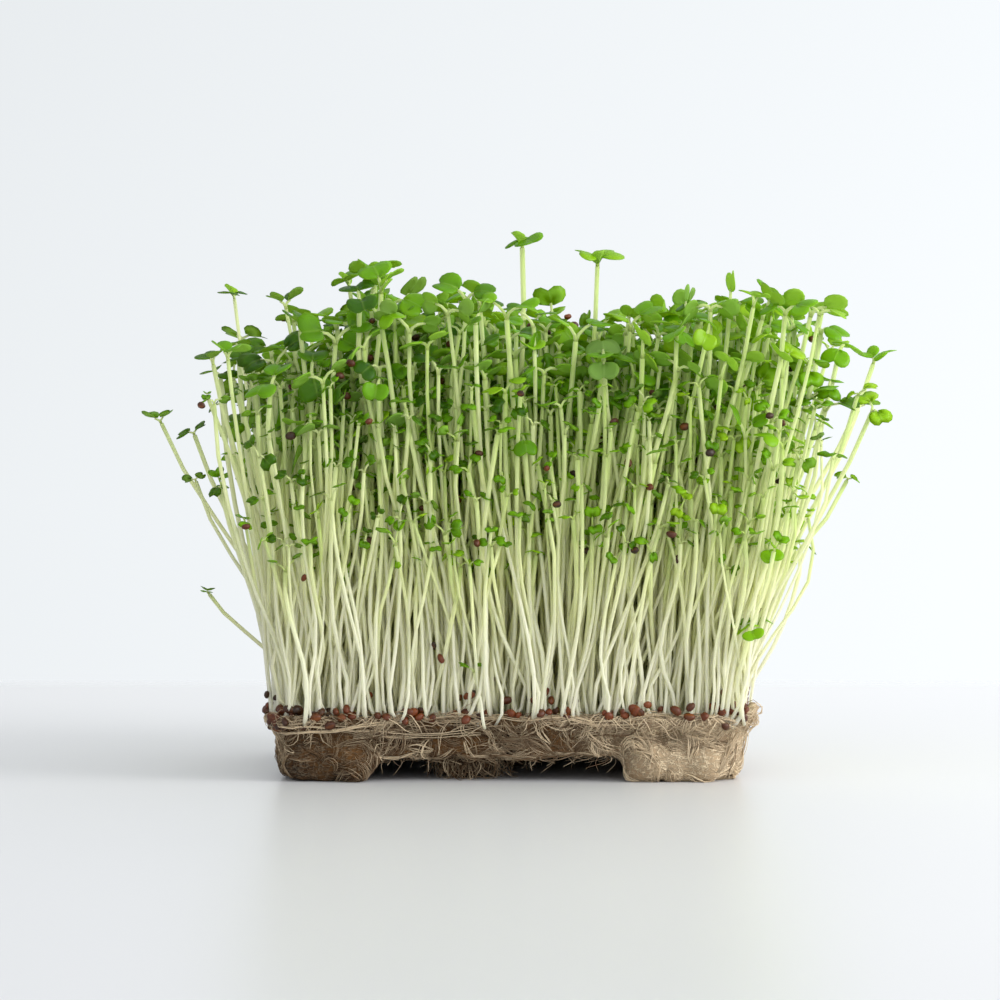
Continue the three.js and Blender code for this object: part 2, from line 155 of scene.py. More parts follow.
# The sprouts that fill the block between those: lowest and highest leaves of each band, and the share
# of each band at the front, elsewhere, and in the low leaves that are added at the front
FILL_ACROSS = 6
FILL_DEEP = 6
FILL_JITTER = 0.8
FILL_EDGE_PITCH = 2.5
FILL_HEIGHTS = [(79, 97), (61, 84), (42, 70), (47, 80)]
FILL_SHARES = [(0.30, 0.40, 0.30, 0.0), (0.44, 0.40, 0.16, 0.0), (0.0, 0.0, 0.0, 1.0)]
FILL_SIZES = [(0.72, 1.15), (0.48, 0.9), (0.34, 0.6), (0.3, 0.62)]
FILL_LOW = 330
FILL_LOW_WIDTH = (-49, 49)
FILL_LOW_DEPTH = (-37.5, -24.0)
FILL_LOW_FORWARD = (2, 7)
FILL_BOW = 2.6
FILL_HOOK = 2.6
FILL_STALK = (1.5, 3.6)
FILL_FAN_LEFT = 0.02
FILL_FAN_RIGHT = 0.13
FILL_FAN_DEEP = 0.07
FILL_WANDER = 4.2
FILL_FIELD = 9.0
FILL_DEPTH = (-45.0, 43.5)
FILL_TRIES = 12
ROOT_GAP = 0.9
CELL = 1.0
THICKET_LOW = (-90, -60, 0)
THICKET_HIGH = (90, 60, 120)
# How far the front stems lean sideways by the time they reach the canopy: where they root, and how far
LEAN = [(-48, 1), (-32, 2), (-12, -8), (4, -10), (16, 7), (34, 4), (49, 5)]
# How high the tops of the tallest leaves come along the block
CROWN = [(-56, 92), (-47, 86), (-38, 90), (-30, 99), (-19, 96), (2, 97), (14, 93), (30, 94), (44, 99)]
CROWN += [(55, 91), (66, 93)]
# How far leaves tip outwards at the edge, and how far the two of a pair rise from level, in degrees:
# mean and spread
TIP_OUT = (22, 20)
RISE = (6, 22)
ROLL = 22

# One sprout in full
LEAF_START = 0.9
LEAF_LENGTH = 5.0
LEAF_REACH = math.radians(96)
LEAF_SPAN = 0.92
LEAF_ROUND = 0.66
NOTCH_DEPTH = 0.33
NOTCH_WIDTH = math.radians(17)
LEAF_THICKNESS = 0.34
STEM_RADII = (0.39, 0.39, 0.41)
PETIOLE_RADII = (0.36, 0.30, 0.26)
FORK_DROP = 1.5
# Lowest and highest fold, cup, droop and ripple of a seed leaf and the place of its ripple, and the same
# five for a true leaf
LEAF_FORMS = [(-0.08, 0.5), (-0.17, 0.03), (-0.11, 0.0), (0.0, 0.24), (0, 6.3)]
TRUE_LEAF_FORM = (0.7, 0.02, -0.04, 0.1, 0.0)
TRUE_LEAF_COLUMNS = 25
# How far a stem is kinked near its foot, and how far up the kink is, as a share of the stem
KINK = 1.7
KINK_PLACE = 0.065
# Chance of a hull on a leaf's tip and on a stem, and the height above which a sprout has a true leaf
TIP_HULLS = 0.09
STEM_HULLS = 0.05
TRUE_LEAF_ABOVE = 99
# How finely stems and leaves are made at the front, at the other edges or on top, and inside the block:
# points along and round a stem and a leaf stalk, then columns and rings of a leaf; a leaf of four rings
# has a blunt edge, the others a sharp one
FINE_STEM = (12, 5, 4, 4)
EDGE_STEM = (9, 4, 3, 3)
INNER_STEM = (6, 3, 3, 3)
FINE_LEAF = (17, (0.07, 0.42, 0.76, 1.0))
EDGE_LEAF = (13, (0.07, 0.6, 1.0))
INNER_LEAF = (9, (0.07, 0.62, 1.0))
# How deep the front strip is, whose sprouts are spread over the bands of height in shares of their own,
# and the size under which its sprouts are made less finely
FRONT_STRIP = 16
SMALL_SIZE = 0.64
# How deep the strips of finer sprouts are: the finest at the front, those behind them, at the back and at
# both ends; and the heights above which leaves are made finer in the front half and inside the block
FINE_STRIP = 10
EDGE_STRIP = 18
BACK_STRIP = 6
END_STRIP = 7
FINE_ABOVE = 86
EDGE_ABOVE = 80

# Number of clusters of seed hulls round the mat's edge, and piles of hulls, the biggest at one corner:
# place and number
HULL_CLUSTERS = 84
HULL_PILES = [
    (-47.0, -34.0, 12.6, 8),
    (-43.0, -36.5, 12.8, 8),
    (-38.5, -37.6, 13.0, 7),
    (-34.5, -37.9, 13.0, 5),
    (-46.8, -35.0, 9.6, 5),
    (-48.6, -28.0, 12.6, 6),
    (-20.0, -38.2, 13.0, 4),
    (-6.0, -38.2, 13.0, 4),
    (9.0, -38.2, 13.0, 4),
    (26.0, -38.2, 13.0, 3),
    (44.5, -36.4, 13.0, 5),
]
# Sprouts with a pose of their own at the front, the sides and the top: root, leaves, size, and in degrees
# the turn of the first leaf, how far both rise, and the roll
POSED = [
    ((-5.2, -37.8), (-7.6, -40.2, 23.0), 0.5, 20, (28, 20), 15),
    ((44.0, -36.5), (47.6, -41.5, 31.0), 0.8, -80, (-25, 15), 20),
    ((22.0, -36.0), (18.4, -42.0, 85.5), 1.1, 90, (-112, 158), 4),
    ((-24.0, -37.0), (-26.5, -42.5, 80.5), 0.95, -100, (-52, 12), -12),
    ((5.0, -37.0), (2.5, -43.5, 69.5), 0.85, -75, (-58, 8), 10),
    ((47.0, -36.0), (51.0, -42.0, 47.5), 0.85, -70, (-45, 15), 14),
    ((-42.0, -36.0), (-41.0, -42.0, 72.0), 0.75, -140, (-30, 10), 10),
    ((38.0, -36.0), (33.0, -42.0, 91.0), 1.0, -60, (-38, 20), -10),
    ((48.0, -14.0), (75.0, -22.0, 76.0), 0.9, -60, (-50, 30), 25),
    ((47.0, -20.0), (64.0, -24.0, 92.5), 1.1, -40, (-20, 12), 15),
    ((48.0, -8.0), (69.0, -14.0, 89.0), 1.1, -120, (-42, 10), -20),
    ((47.0, -22.0), (60.5, -26.0, 84.0), 1.0, -70, (-55, 25), 5),
    ((48.0, -16.0), (66.0, -20.0, 81.0), 0.95, -100, (-48, 15), -15),
    ((-48.0, -12.0), (-57.0, -14.0, 89.0), 1.05, -75, (-30, 14), 15),
    ((-48.0, -18.0), (-60.0, -22.0, 83.0), 0.8, -50, (-12, 8), 20),
    ((-32.0, -34.0), (-26.0, -36.0, 100.0), 1.1, -60, (25, 48), 30),
    ((-14.0, -34.0), (-9.0, -36.0, 98.0), 1.1, -10, (12, 30), 38),
]
POSED_BOW = (0, -1.5)
POSED_STALK = 1.6

# The camera, from the photograph: it looks level along +Y
CAMERA_PLACE = (-2.2, -599.0, 56.6)
CAMERA_LENS = 100.8
TABLE_SIDE = 1500.0
TABLE_FRONT = -900.0
TABLE_BACK = 281.0
# Place, target and size of the two lamps
WINDOW_LAMP = ((630, -230, 320), (0, 0, 45), 420)
BACK_LAMP = ((120, 640, 380), (0, 0, 60), 600)


def unit(vectors):
    """Vectors of length one, along the last axis."""
    length = np.linalg.norm(vectors, axis=-1, keepdims=True)
    return vectors / np.maximum(length, 1e-9)


def spread(low, high, rng, shape=None):
    """Seeded draws between two values."""
    return low + (high - low) * rng.random(shape)


def ease(share):
    """A smooth step from 0 to 1."""
    share = np.clip(share, 0, 1)
    return share * share * (3 - 2 * share)


class Lot:
    """The vertices and faces of one piece as it is put together, with a spot attribute on each vertex."""

    def __init__(self):
        self.places = []
        self.spots = []
        self.faces = []
        self.count = 0

    def add(self, places, spots, faces, slot):
        """Adds vertices (n, 3), their spots (n, 4) and lists of faces with equally many corners."""
        self.places.append(places.reshape(-1, 3))
        self.spots.append(spots.reshape(-1, 4))
        for group in faces:
            self.faces.append((group + self.count, slot))
        self.count += places.reshape(-1, 3).shape[0]

    def mesh(self, name):
        """The lot as a smooth-shaded Blender mesh in metres."""
        places = np.concatenate(self.places) * MM
        spots = np.concatenate(self.spots)
        corners = np.concatenate([group.ravel() for group, _ in self.faces])
        sizes = np.concatenate([np.full(len(group), group.shape[1]) for group, _ in self.faces])
        slots = np.concatenate([np.full(len(group), slot) for group, slot in self.faces])
        mesh = bpy.data.meshes.new(name)
        mesh.vertices.add(len(places))
        mesh.vertices.foreach_set("co", places.astype(np.float32).ravel())
        mesh.loops.add(len(corners))
        mesh.loops.foreach_set("vertex_index", corners.astype(np.int32))
        mesh.polygons.add(len(sizes))
        starts = np.concatenate([[0], np.cumsum(sizes)[:-1]])
        mesh.polygons.foreach_set("loop_start", starts.astype(np.int32))
        mesh.polygons.foreach_set("material_index", slots.astype(np.int32))
        mesh.polygons.foreach_set("use_smooth", np.ones(len(sizes), bool))
        layer = mesh.attributes.new("spot", "FLOAT_COLOR", "POINT")
        layer.data.foreach_set("color", spots.astype(np.float32).ravel())
        mesh.update(calc_edges=True)
        mesh.validate()
        return mesh


def grid_faces(rows, columns, wrap):
    """Quads of a grid of rows by columns of vertices, closed across the columns where wrap is set."""
    across = columns if wrap else columns - 1
    row, column = np.meshgrid(np.arange(rows - 1), np.arange(across), indexing="ij")
    after = (column + 1) % columns
    here = row * columns
    quads = [here + column, here + after, here + columns + after, here + columns + column]
    return np.stack(quads, -1).reshape(-1, 4)


def tube(lot, path, radii, sides, slot, spots):
    """A closed tube along a path (m, 3), with spots (m, 4)."""
    steps = len(path)
    tangent = unit(np.gradient(path, axis=0))
    lean = np.array([0.0, 0.0, 1.0]) if abs(tangent[0][2]) < 0.9 else np.array([1.0, 0.0, 0.0])
    side = unit(np.cross(tangent[0], lean))
    rings = np.empty((steps, sides, 3))
    turn = np.arange(sides) / sides * 2 * math.pi
    for i in range(steps):
        side = unit(side - np.dot(side, tangent[i]) * tangent[i])
        other = np.cross(tangent[i], side)
        rim = np.outer(np.cos(turn), side) + np.outer(np.sin(turn), other)
        rings[i] = path[i] + rim * radii[i]
    caps = np.array([np.arange(sides)[::-1], np.arange(sides) + (steps - 1) * sides])
    lot.add(rings, np.repeat(spots[:, None], sides, 1), [grid_faces(steps, sides, True), caps], slot)


def piece_of(lot, name, materials, body=BODY):
    """Makes a lot's object, gives it its materials and lets it ride on the block's body."""
    return dress(bpy.data.objects.new(name, lot.mesh(name)), materials, body)


def dress(piece, materials, body=BODY):
    """Links a new piece to the scene with its materials and its body."""
    bpy.context.scene.collection.objects.link(piece)
    for material in materials:
        piece.data.materials.append(material)
    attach(piece, body)
    return piece


class Reading:
    """A number, colour or vector that comes out of a node, used in Python expressions."""

    def __init__(self, shader, socket):
        self.shader = shader
        self.socket = socket

    def _math(self, operation, *values):
        return self.shader.node("ShaderNodeMath", {"operation": operation}, dict(enumerate(values)))[0]

    def __add__(self, other):
        return self._math("ADD", self, other)

    __radd__ = __add__

    def __sub__(self, other):
        return self._math("SUBTRACT", self, other)

    def __rsub__(self, other):
        return self._math("SUBTRACT", other, self)

    def __mul__(self, other):
        return self._math("MULTIPLY", self, other)

    __rmul__ = __mul__

    def __abs__(self):
        return self._math("ABSOLUTE", self)

    def step(self, low, high):
        """A smooth step from 0 at low to 1 at high."""
        settings = {"interpolation_type": "SMOOTHSTEP"}
        values = {"Value": self, "From Min": low, "From Max": high}
        return self.shader.node("ShaderNodeMapRange", settings, values)[0]


class Shader:
    """The nodes of a material or a world under construction."""

    def __init__(self, owner):
        owner.use_nodes = True
        self.owner = owner
        self.tree = owner.node_tree
        self.tree.nodes.clear()

    def node(self, kind, settings, values):
        """Adds a node with its settings and the values or links of its sockets; returns its outputs."""
        node = self.tree.nodes.new(kind)
        for name, setting in settings.items():
            if name == "stops":
                self._set_stops(node.color_ramp, setting)
            else:
                setattr(node, name, setting)
        for name, value in values.items():
            socket = node.inputs[name]
            if isinstance(value, Reading):
                self.tree.links.new(value.socket, socket)
            else:
                socket.default_value = value
        return [Reading(self, output) for output in node.outputs]

    def _set_stops(self, ramp, stops):
        while len(ramp.elements) < len(stops):
            ramp.elements.new(0.5)
        for element, (place, colour) in zip(ramp.elements, stops):
            element.position = place
            element.color = (*colour, 1)

    def spot(self):
        """The four numbers that each vertex of a piece carries."""
        outputs = self.node("ShaderNodeAttribute", {"attribute_name": "spot"}, {})
        split = self.node("ShaderNodeSeparateColor", {"mode": "RGB"}, {"Color": outputs[0]})
        return split[0], split[1], split[2], outputs[3]

    def place(self, scale=(1, 1, 1)):
        """The point of the piece, with a scale for each axis."""
        point = self.node("ShaderNodeTexCoord", {}, {})[3]
        values = {0: point, 1: scale}
        return self.node("ShaderNodeVectorMath", {"operation": "MULTIPLY"}, values)[0]

    def grain(self, point, scale, detail):
        """Noise from 0 to 1, with patches of a size that the scale sets."""
        values = {"Vector": point, "Scale": scale, "Detail": detail, "Roughness": GRAIN_ROUGHNESS}
        return self.node("ShaderNodeTexNoise", {}, values)[0]

    def mix(self, share, first, second):
        """A colour between two colours."""
        first = first if isinstance(first, Reading) else (*first, 1)
        second = second if isinstance(second, Reading) else (*second, 1)
        settings = {"data_type": "RGBA"}
        return self.node("ShaderNodeMix", settings, {0: share, 6: first, 7: second})[2]

    def ramp(self, share, stops):
        return self.node("ShaderNodeValToRGB", {"stops": stops}, {0: share})[0]

    def bump(self, height, strength, distance):
        values = {"Height": height, "Strength": strength, "Distance": distance}
        return self.node("ShaderNodeBump", {}, values)[0]

    def principled(self, values):
        return self.node("ShaderNodeBsdfPrincipled", {}, values)[0]

    def translucent(self, share, surface, colour):
        """The surface with a share of light let through it."""
        through = self.node("ShaderNodeBsdfTranslucent", {}, {"Color": (*colour, 1)})[0]
        return self.node("ShaderNodeMixShader", {}, {0: share, 1: surface, 2: through})[0]

    def finish(self, surface):
        """Ends a material in its surface and returns it."""
        self.node("ShaderNodeOutputMaterial", {}, {"Surface": surface})
        return self.owner


def colour_setting(name, description, default):
    return bpy.props.FloatVectorProperty(
        name=name, description=description, subtype="COLOR", size=3, min=0, max=1, default=default
    )


def length_setting(name, description, default):
    """A length in metres, whose default is given in millimetres."""
    return bpy.props.FloatProperty(
        name=name, description=description, unit="LENGTH", min=0, default=default * MM, precision=5
    )


def count_setting(name, description, default):
    return bpy.props.IntProperty(name=name, description=description, min=0, default=default)


def power_setting(name, description, default):
    return bpy.props.FloatProperty(name=name, description=description, unit="POWER", min=0, default=default)


class MatSettings(bpy.types.PropertyGroup):
    """The felt mat, its roots and its hulls."""

    # Dark and light felt are mixed by patches of noise; the light felt and the pale roots also carry painted
    # light that makes the felt lighter towards the mat's right
    felt_dark: colour_setting("Dark felt", "Wet felt in the hollows", (0.016, 0.007, 0.003))
    felt_light: colour_setting("Light felt", "Felt that stands proud", (0.142, 0.066, 0.020))
    root_pale: colour_setting("Pale roots", "Roots in the light", (0.95, 0.77, 0.52))
    root_brown: colour_setting("Brown roots", "Fibres of the felt", (0.105, 0.047, 0.013))
    hull_red: colour_setting("Red hulls", "Seed hulls", (0.125, 0.025, 0.005))
    # The dark hulls are laid mostly towards the mat's left corner
    hull_dark: colour_setting("Dark hulls", "Oldest seed hulls", (0.020, 0.008, 0.003))
    voxel: length_setting("Felt grain", "Size of the felt's mesh", 0.9)
    lump: length_setting("Lumps", "Height of the felt's lumps", 0.9)
    side_fibres: count_setting("Side locks", "Locks of fibres over the mat's sides", 560)
    top_fibres: count_setting("Top fibres", "Fibres laid over the mat's top", 300)
    fringe_fibres: count_setting("Fringe", "Fibres that hang under the mat", 640)
    rim_roots: count_setting("Rim roots", "Strands of roots that run round the lip", 30)


class SproutSettings(bpy.types.PropertyGroup):
    """The stems and the seed leaves."""

    stem_foot: colour_setting("Stem foot", "Stem near the mat", (1.0, 0.965, 0.89))
    stem_middle: colour_setting("Stem middle", "Stem half way up", (0.91, 0.95, 0.52))
    stem_head: colour_setting("Stem head", "Stem under the leaves", (0.51, 0.68, 0.13))
    stem_shaded: colour_setting("Shaded stem", "Stems inside the block", (0.82, 0.74, 0.26))
    leaf_deep: colour_setting("Deep green", "Darkest seed leaves", (0.011, 0.056, 0.002))
    leaf_green: colour_setting("Green", "Most seed leaves", (0.150, 0.365, 0.004))
    leaf_fresh: colour_setting("Fresh green", "Youngest seed leaves", (0.33, 0.52, 0.014))
    leaf_under: colour_setting("Underside", "Pale undersides", (0.38, 0.58, 0.15))


class StageSettings(bpy.types.PropertyGroup):
    """The table, the light and the camera."""

    table: colour_setting("Table", "Table top", (0.620, 0.616, 0.622))
    sky: colour_setting("Surround", "Light from all round", (0.94, 0.975, 1.0))
    key_power: power_setting("Key light", "Window light from the right", 4.2)
    rim_power: power_setting("Back light", "Soft light from behind", 1.8)


def felt_material(settings):
    """Damp fibre felt in darker and lighter patches of noise, with painted light that makes it lighter
    towards the right, and fine threads running all ways.
    """
    shader = Shader(bpy.data.materials.new("damp felt"))
    point = shader.place()
    across = shader.node("ShaderNodeSeparateXYZ", {}, {0: point})[0]
    # Painted light: the felt and its pale threads grow lighter towards the right, the side the light comes
    # from
    painted_right_light = across.step(0.006, 0.036)
    cloud = shader.grain(point, 150.0, 4.0)
    threads = 0
    for scale, stretch, width in FELT_THREADS:
        thread = abs(shader.grain(shader.place(stretch), scale, 2.0) - 0.5)
        threads = (1 - thread.step(0.0, width)) + threads
    matted = shader.grain(shader.place((0.5, 0.5, 1.6)), 1500.0, 3.0)
    # shade mixes dark and light felt by patches of noise, plus the painted light towards the right
    shade = cloud.step(0.34, 0.68) * 0.6 + matted.step(0.35, 0.7) * (0.35 - painted_right_light * 0.2) + painted_right_light * 0.6
    felt = shader.mix(shade, settings.felt_dark, settings.felt_light)
    colour = shader.mix(threads * (0.07 + painted_right_light * 0.26) + painted_right_light * 0.3, felt, settings.root_pale)
    values = {
        "Base Color": colour,
        "Roughness": 0.92 - threads * 0.08,
        "Specular IOR Level": 0.15,
        "Normal": shader.bump(threads * 0.5 + cloud + matted * 0.4, 0.8, 0.0006),
    }
    return shader.finish(shader.principled(values))


def root_material(settings):
    """Fine roots: the spot's first number runs from brown felt fibre to pale live root; on the side locks and
    the fans over the lip it is also raised towards the mat's right as painted light.
    """
    shader = Shader(bpy.data.materials.new("fine roots"))
    pale, along, _, _ = shader.spot()
    streak = shader.grain(shader.place(), 700.0, 2.0)
    colour = shader.mix(pale * 0.9 + streak * 0.2 - 0.05, settings.root_brown, settings.root_pale)
    values = {
        "Base Color": colour,
        "Roughness": 0.62 - pale * 0.15 + along * 0.02,
        "Specular IOR Level": 0.3,
    }
    surface = shader.principled(values)
    return shader.finish(shader.translucent(0.15, surface, (0.74, 0.58, 0.38)))


def stem_material(settings):
    """Stems: white at the foot, pale green at the head, and yellower where the fourth number is high, a
    painted shade for stems inside the block.
    """
    shader = Shader(bpy.data.materials.new("pale stem"))
    up, _, tone, inner = shader.spot()
    stops = [
        (0.0, settings.stem_foot),
        (0.3, [a * 0.75 + b * 0.25 for a, b in zip(settings.stem_foot, settings.stem_middle)]),
        (0.66, settings.stem_middle),
        (1.0, settings.stem_head),
    ]
    cloud = shader.grain(shader.place(), 260.0, 2.0)
    # Painted shade: stems that root inside the block, away from the light, take the shaded stem colour and
    # climb towards the greener end of the ramp
    climb = up + tone * 0.26 - 0.16 + (cloud - 0.5) * 0.24 + inner * (0.3 - up * 0.2)
    values = {
        "Base Color": shader.mix(inner * (0.6 - up * 0.6), shader.ramp(climb, stops), settings.stem_shaded),
        "Roughness": 0.28 + cloud * 0.2,
        "Specular IOR Level": 0.45,
    }
    surface = shader.principled(values)
    return shader.finish(shader.translucent(0.55, surface, (0.98, 0.99, 0.80)))


def leaf_material(settings):
    """Seed leaves: glossy green above, glaucous below, with a pale midrib and faint side veins."""
    shader = Shader(bpy.data.materials.new("seed leaf"))
    along, across, tone, under = shader.spot()
    width = abs(across - 0.5) * 2
    midrib = 1 - width.step(0.0, 0.05 + 0.04 * (1 - along))
    branch = shader.node("ShaderNodeMath", {"operation": "SINE"}, {0: (along - width * 0.55) * 26})[0]
    veins = branch.step(0.82, 1.0) * (1 - along) * 0.5
    mottle = shader.grain(shader.place(), 420.0, 4.0)
    blade = shader.ramp(
        tone + (mottle - 0.5) * 0.24 + (width - 0.5) * 0.12,
        [(0.0, settings.leaf_deep), (0.55, settings.leaf_green), (1.0, settings.leaf_fresh)],
    )
    upper = shader.mix(midrib * 0.2 + veins * 0.14, blade, settings.stem_head)
    lower = shader.mix(0.45 + midrib * 0.15, blade, settings.leaf_under)
    pores = shader.grain(shader.place(), 3200.0, 2.0)
    values = {
        "Base Color": shader.mix(under, upper, lower),
        "Roughness": 0.27 + under * 0.25 + mottle * 0.14,
        "Specular IOR Level": 0.24,
        "Normal": shader.bump(pores * 0.25 - midrib * 0.9 - veins * 0.5, 0.35, 0.0003),
    }
    surface = shader.principled(values)
    return shader.finish(shader.translucent(0.38, surface, (0.66, 0.92, 0.015)))


def hull_material(settings):
    """Seed hulls: the first number runs from dark to red, the second to an orange painted highlight, laid
    where the hull is thin.
    """
    shader = Shader(bpy.data.materials.new("seed hull"))
    red, thin, _, _ = shader.spot()
    pits = shader.grain(shader.place(), 2600.0, 3.0)
    skin = shader.mix(red, settings.hull_dark, settings.hull_red)
    values = {
        "Base Color": shader.mix(thin * 0.55 + (pits - 0.5) * 0.16, skin, (0.46, 0.13, 0.016)),
        "Roughness": 0.26 + pits * 0.3,
        "Specular IOR Level": 0.36,
        "Normal": shader.bump(pits, 0.5, 0.0002),
    }
    return shader.finish(shader.principled(values))


def table_material(settings):
    """A smooth, faintly clouded white table top with a soft sheen."""
    shader = Shader(bpy.data.materials.new("white table"))
    point = shader.place()
    cloud = shader.grain(point, 5.0, 2.0)
    deep = shader.node("ShaderNodeSeparateXYZ", {}, {0: point})[1]
    whiter = [min(1, part * 1.04) for part in settings.table]
    values = {
        "Base Color": shader.mix(cloud, settings.table, whiter),
        "Roughness": 0.3 + cloud * 0.06,
        "Specular IOR Level": 0.36,
        "Alpha": 1 - deep.step((TABLE_BACK - 34) * MM, (TABLE_BACK + 4) * MM),
    }
    return shader.finish(shader.principled(values))


def rounded_rectangle(low_x, high_x, low_y, high_y, radii):
    """Points round a rectangle with its own radius at each corner, from the front right corner on."""
    corners = [(high_x, low_y), (high_x, high_y), (low_x, high_y), (low_x, low_y)]
    inward = [(-1, 1), (-1, -1), (1, -1), (1, 1)]
    points = []
    for corner, ((x, y), (sx, sy), radius) in enumerate(zip(corners, inward, radii)):
        for i in range(CORNER_STEPS + 1):
            angle = (corner - 1 + i / CORNER_STEPS) * math.pi / 2
            centre = (x + sx * radius, y + sy * radius)
            points.append((centre[0] + radius * math.cos(angle), centre[1] + radius * math.sin(angle)))
    return points


def mat_outline(inset):
    """Points round the mat, standing in from its lip."""
    x, y = MAT_WIDTH / 2 - inset, MAT_DEPTH / 2 - inset
    return rounded_rectangle(-x, x, -y, y, [CORNER_RADIUS - inset] * 4)


def ring_stack(lot, rings):
    """A closed solid from rings of equally many points, listed from the bottom up."""
    places = np.array(rings)
    steps, count = places.shape[:2]
    caps = np.array([np.arange(count)[::-1], np.arange(count) + (steps - 1) * count])
    lot.add(places, np.zeros((steps, count, 4)), [grid_faces(steps, count, True), caps], 0)


def ball(lot, x, y, z, radius):
    """A closed ball, as a solid to be joined with the others."""
    turn = np.arange(12) / 12 * 2 * math.pi
    rings = []
    for lift in np.radians([-84, -55, -28, 0, 28, 55, 84]):
        reach = radius * math.cos(lift)
        height = turn * 0 + max(z + radius * math.sin(lift), 0)
        rings.append(np.stack([x + reach * np.cos(turn), y + reach * np.sin(turn), height], -1))
    ring_stack(lot, rings)


def inset_at(height):
    """How far the mat's side stands in from the lip at a height."""
    heights, insets = zip(*WALL_RINGS)
    return float(np.interp(height, heights, insets))


def mat_solids():
    """The slab, the corner feet and the middle feet, overlapping each other."""
    lot = Lot()
    half_width, half_depth = MAT_WIDTH / 2, MAT_DEPTH / 2
    slab = []
    for height in SLAB_HEIGHTS:
        slab.append([(x, y, height) for x, y in mat_outline(inset_at(height))])
    ring_stack(lot, slab)
    for side_x, inner_x in zip((-1, 1), RECESS_X):
        for side_y, inner_y in zip((-1, 1), RECESS_Y):
            foot = []
            for height in CORNER_FOOT_HEIGHTS:
                inset = inset_at(height) + 0.9 * max(0, 1 - height / 0.9)
                creep = 1.3 * max(0, 1 - height / 4)
                x_pair = sorted((inner_x + side_x * creep, side_x * (half_width - inset)))
                y_pair = sorted((inner_y + side_y * creep, side_y * (half_depth - inset)))
                outer = {(1, -1): 0, (1, 1): 1, (-1, 1): 2, (-1, -1): 3}[(side_x, side_y)]
                radii = [FOOT_ROUND] * 4
                radii[outer] = CORNER_RADIUS - inset
                outline = rounded_rectangle(*x_pair, *y_pair, radii)
                foot.append([(x, y, height) for x, y in outline])
            ring_stack(lot, foot)
    for x, y, radius in MIDDLE_FEET:
        rings = []
        for height, share in MIDDLE_FOOT_RINGS:
            turn = np.arange(20) / 20 * 2 * math.pi
            lumps = radius * share * (1 + 0.07 * np.sin(turn * 3 + x) + 0.05 * np.sin(turn * 5 + y))
            places = [x + lumps * np.cos(turn), y + lumps * np.sin(turn), turn * 0 + height]
            rings.append(np.stack(places, -1))
        ring_stack(lot, rings)
    for low_x, high_x, low_y, high_y in SKIRTS:
        outline = rounded_rectangle(low_x, high_x, low_y, high_y, [1.3] * 4)
        ring_stack(lot, [[(x, y, height) for x, y in outline] for height in (0.1, 3.0, 7.0)])
    for bulge in BULGES:
        ball(lot, *bulge)
    rng = np.random.default_rng(SEED + 5)
    for x in np.arange(RECESS_X[0], RECESS_X[1], 2.6):
        for side in (-1, 1):
            y = side * spread(31.5, 34.0, rng)
            z = spread(5.2, 6.4, rng)
            ball(lot, x + rng.normal(0, 0.7), y, z, spread(0.9, 2.2, rng))
    return lot


def vertex_rows(mesh, name):
    """The places or the normals of a mesh's vertices, one to a row."""
    values = np.empty(len(mesh.vertices) * 3, np.float32)
    mesh.vertices.foreach_get(name, values)
    return values.reshape(-1, 3)


def lumpy(mesh, height):
    """Moves a felt mesh in and out along its normals, and keeps its feet on the surface it stands on."""
    normals, places = vertex_rows(mesh, "normal"), vertex_rows(mesh, "co")
    moves = np.empty(len(places))
    for i, place in enumerate(places):
        point = Vector(place)
        broad = noise.noise(point * 170)
        streaks = noise.noise(Vector((point.x * 260, point.y * 260, point.z * 700)))
        fine = noise.noise(point * 1500)
        moves[i] = broad * 0.65 + streaks * 0.4 + fine * 0.22 - 0.12
    top = np.clip((places[:, 2] / MM - MAT_TOP + 1.2) / 1.2, 0, 1)
    places += normals * (moves * height * (1 - 0.45 * top))[:, None]
    places[:, 2] = np.maximum(places[:, 2], 0)
    mesh.vertices.foreach_set("co", places.ravel())
    mesh.update()


def felt_mat(settings):
    """The mat as one lumpy felt body, joined from its solids by a voxel remesh."""
    rough = bpy.data.objects.new("mat_rough", mat_solids().mesh("mat_rough"))
    bpy.context.scene.collection.objects.link(rough)
    remesh = rough.modifiers.new("felt", "REMESH")
    remesh.mode = "VOXEL"
    remesh.voxel_size = settings.voxel
    smooth = rough.modifiers.new("soften", "SMOOTH")
    smooth.iterations = 3
    graph = bpy.context.evaluated_depsgraph_get()
    mesh = bpy.data.meshes.new_from_object(rough.evaluated_get(graph))
    bpy.data.objects.remove(rough)
    mesh.name = "felt_mat"
    lumpy(mesh, settings.lump)
    mesh.polygons.foreach_set("use_smooth", np.ones(len(mesh.polygons), bool))
    piece = dress(bpy.data.objects.new("felt_mat", mesh), [felt_material(settings)])
    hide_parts("growing_mat")


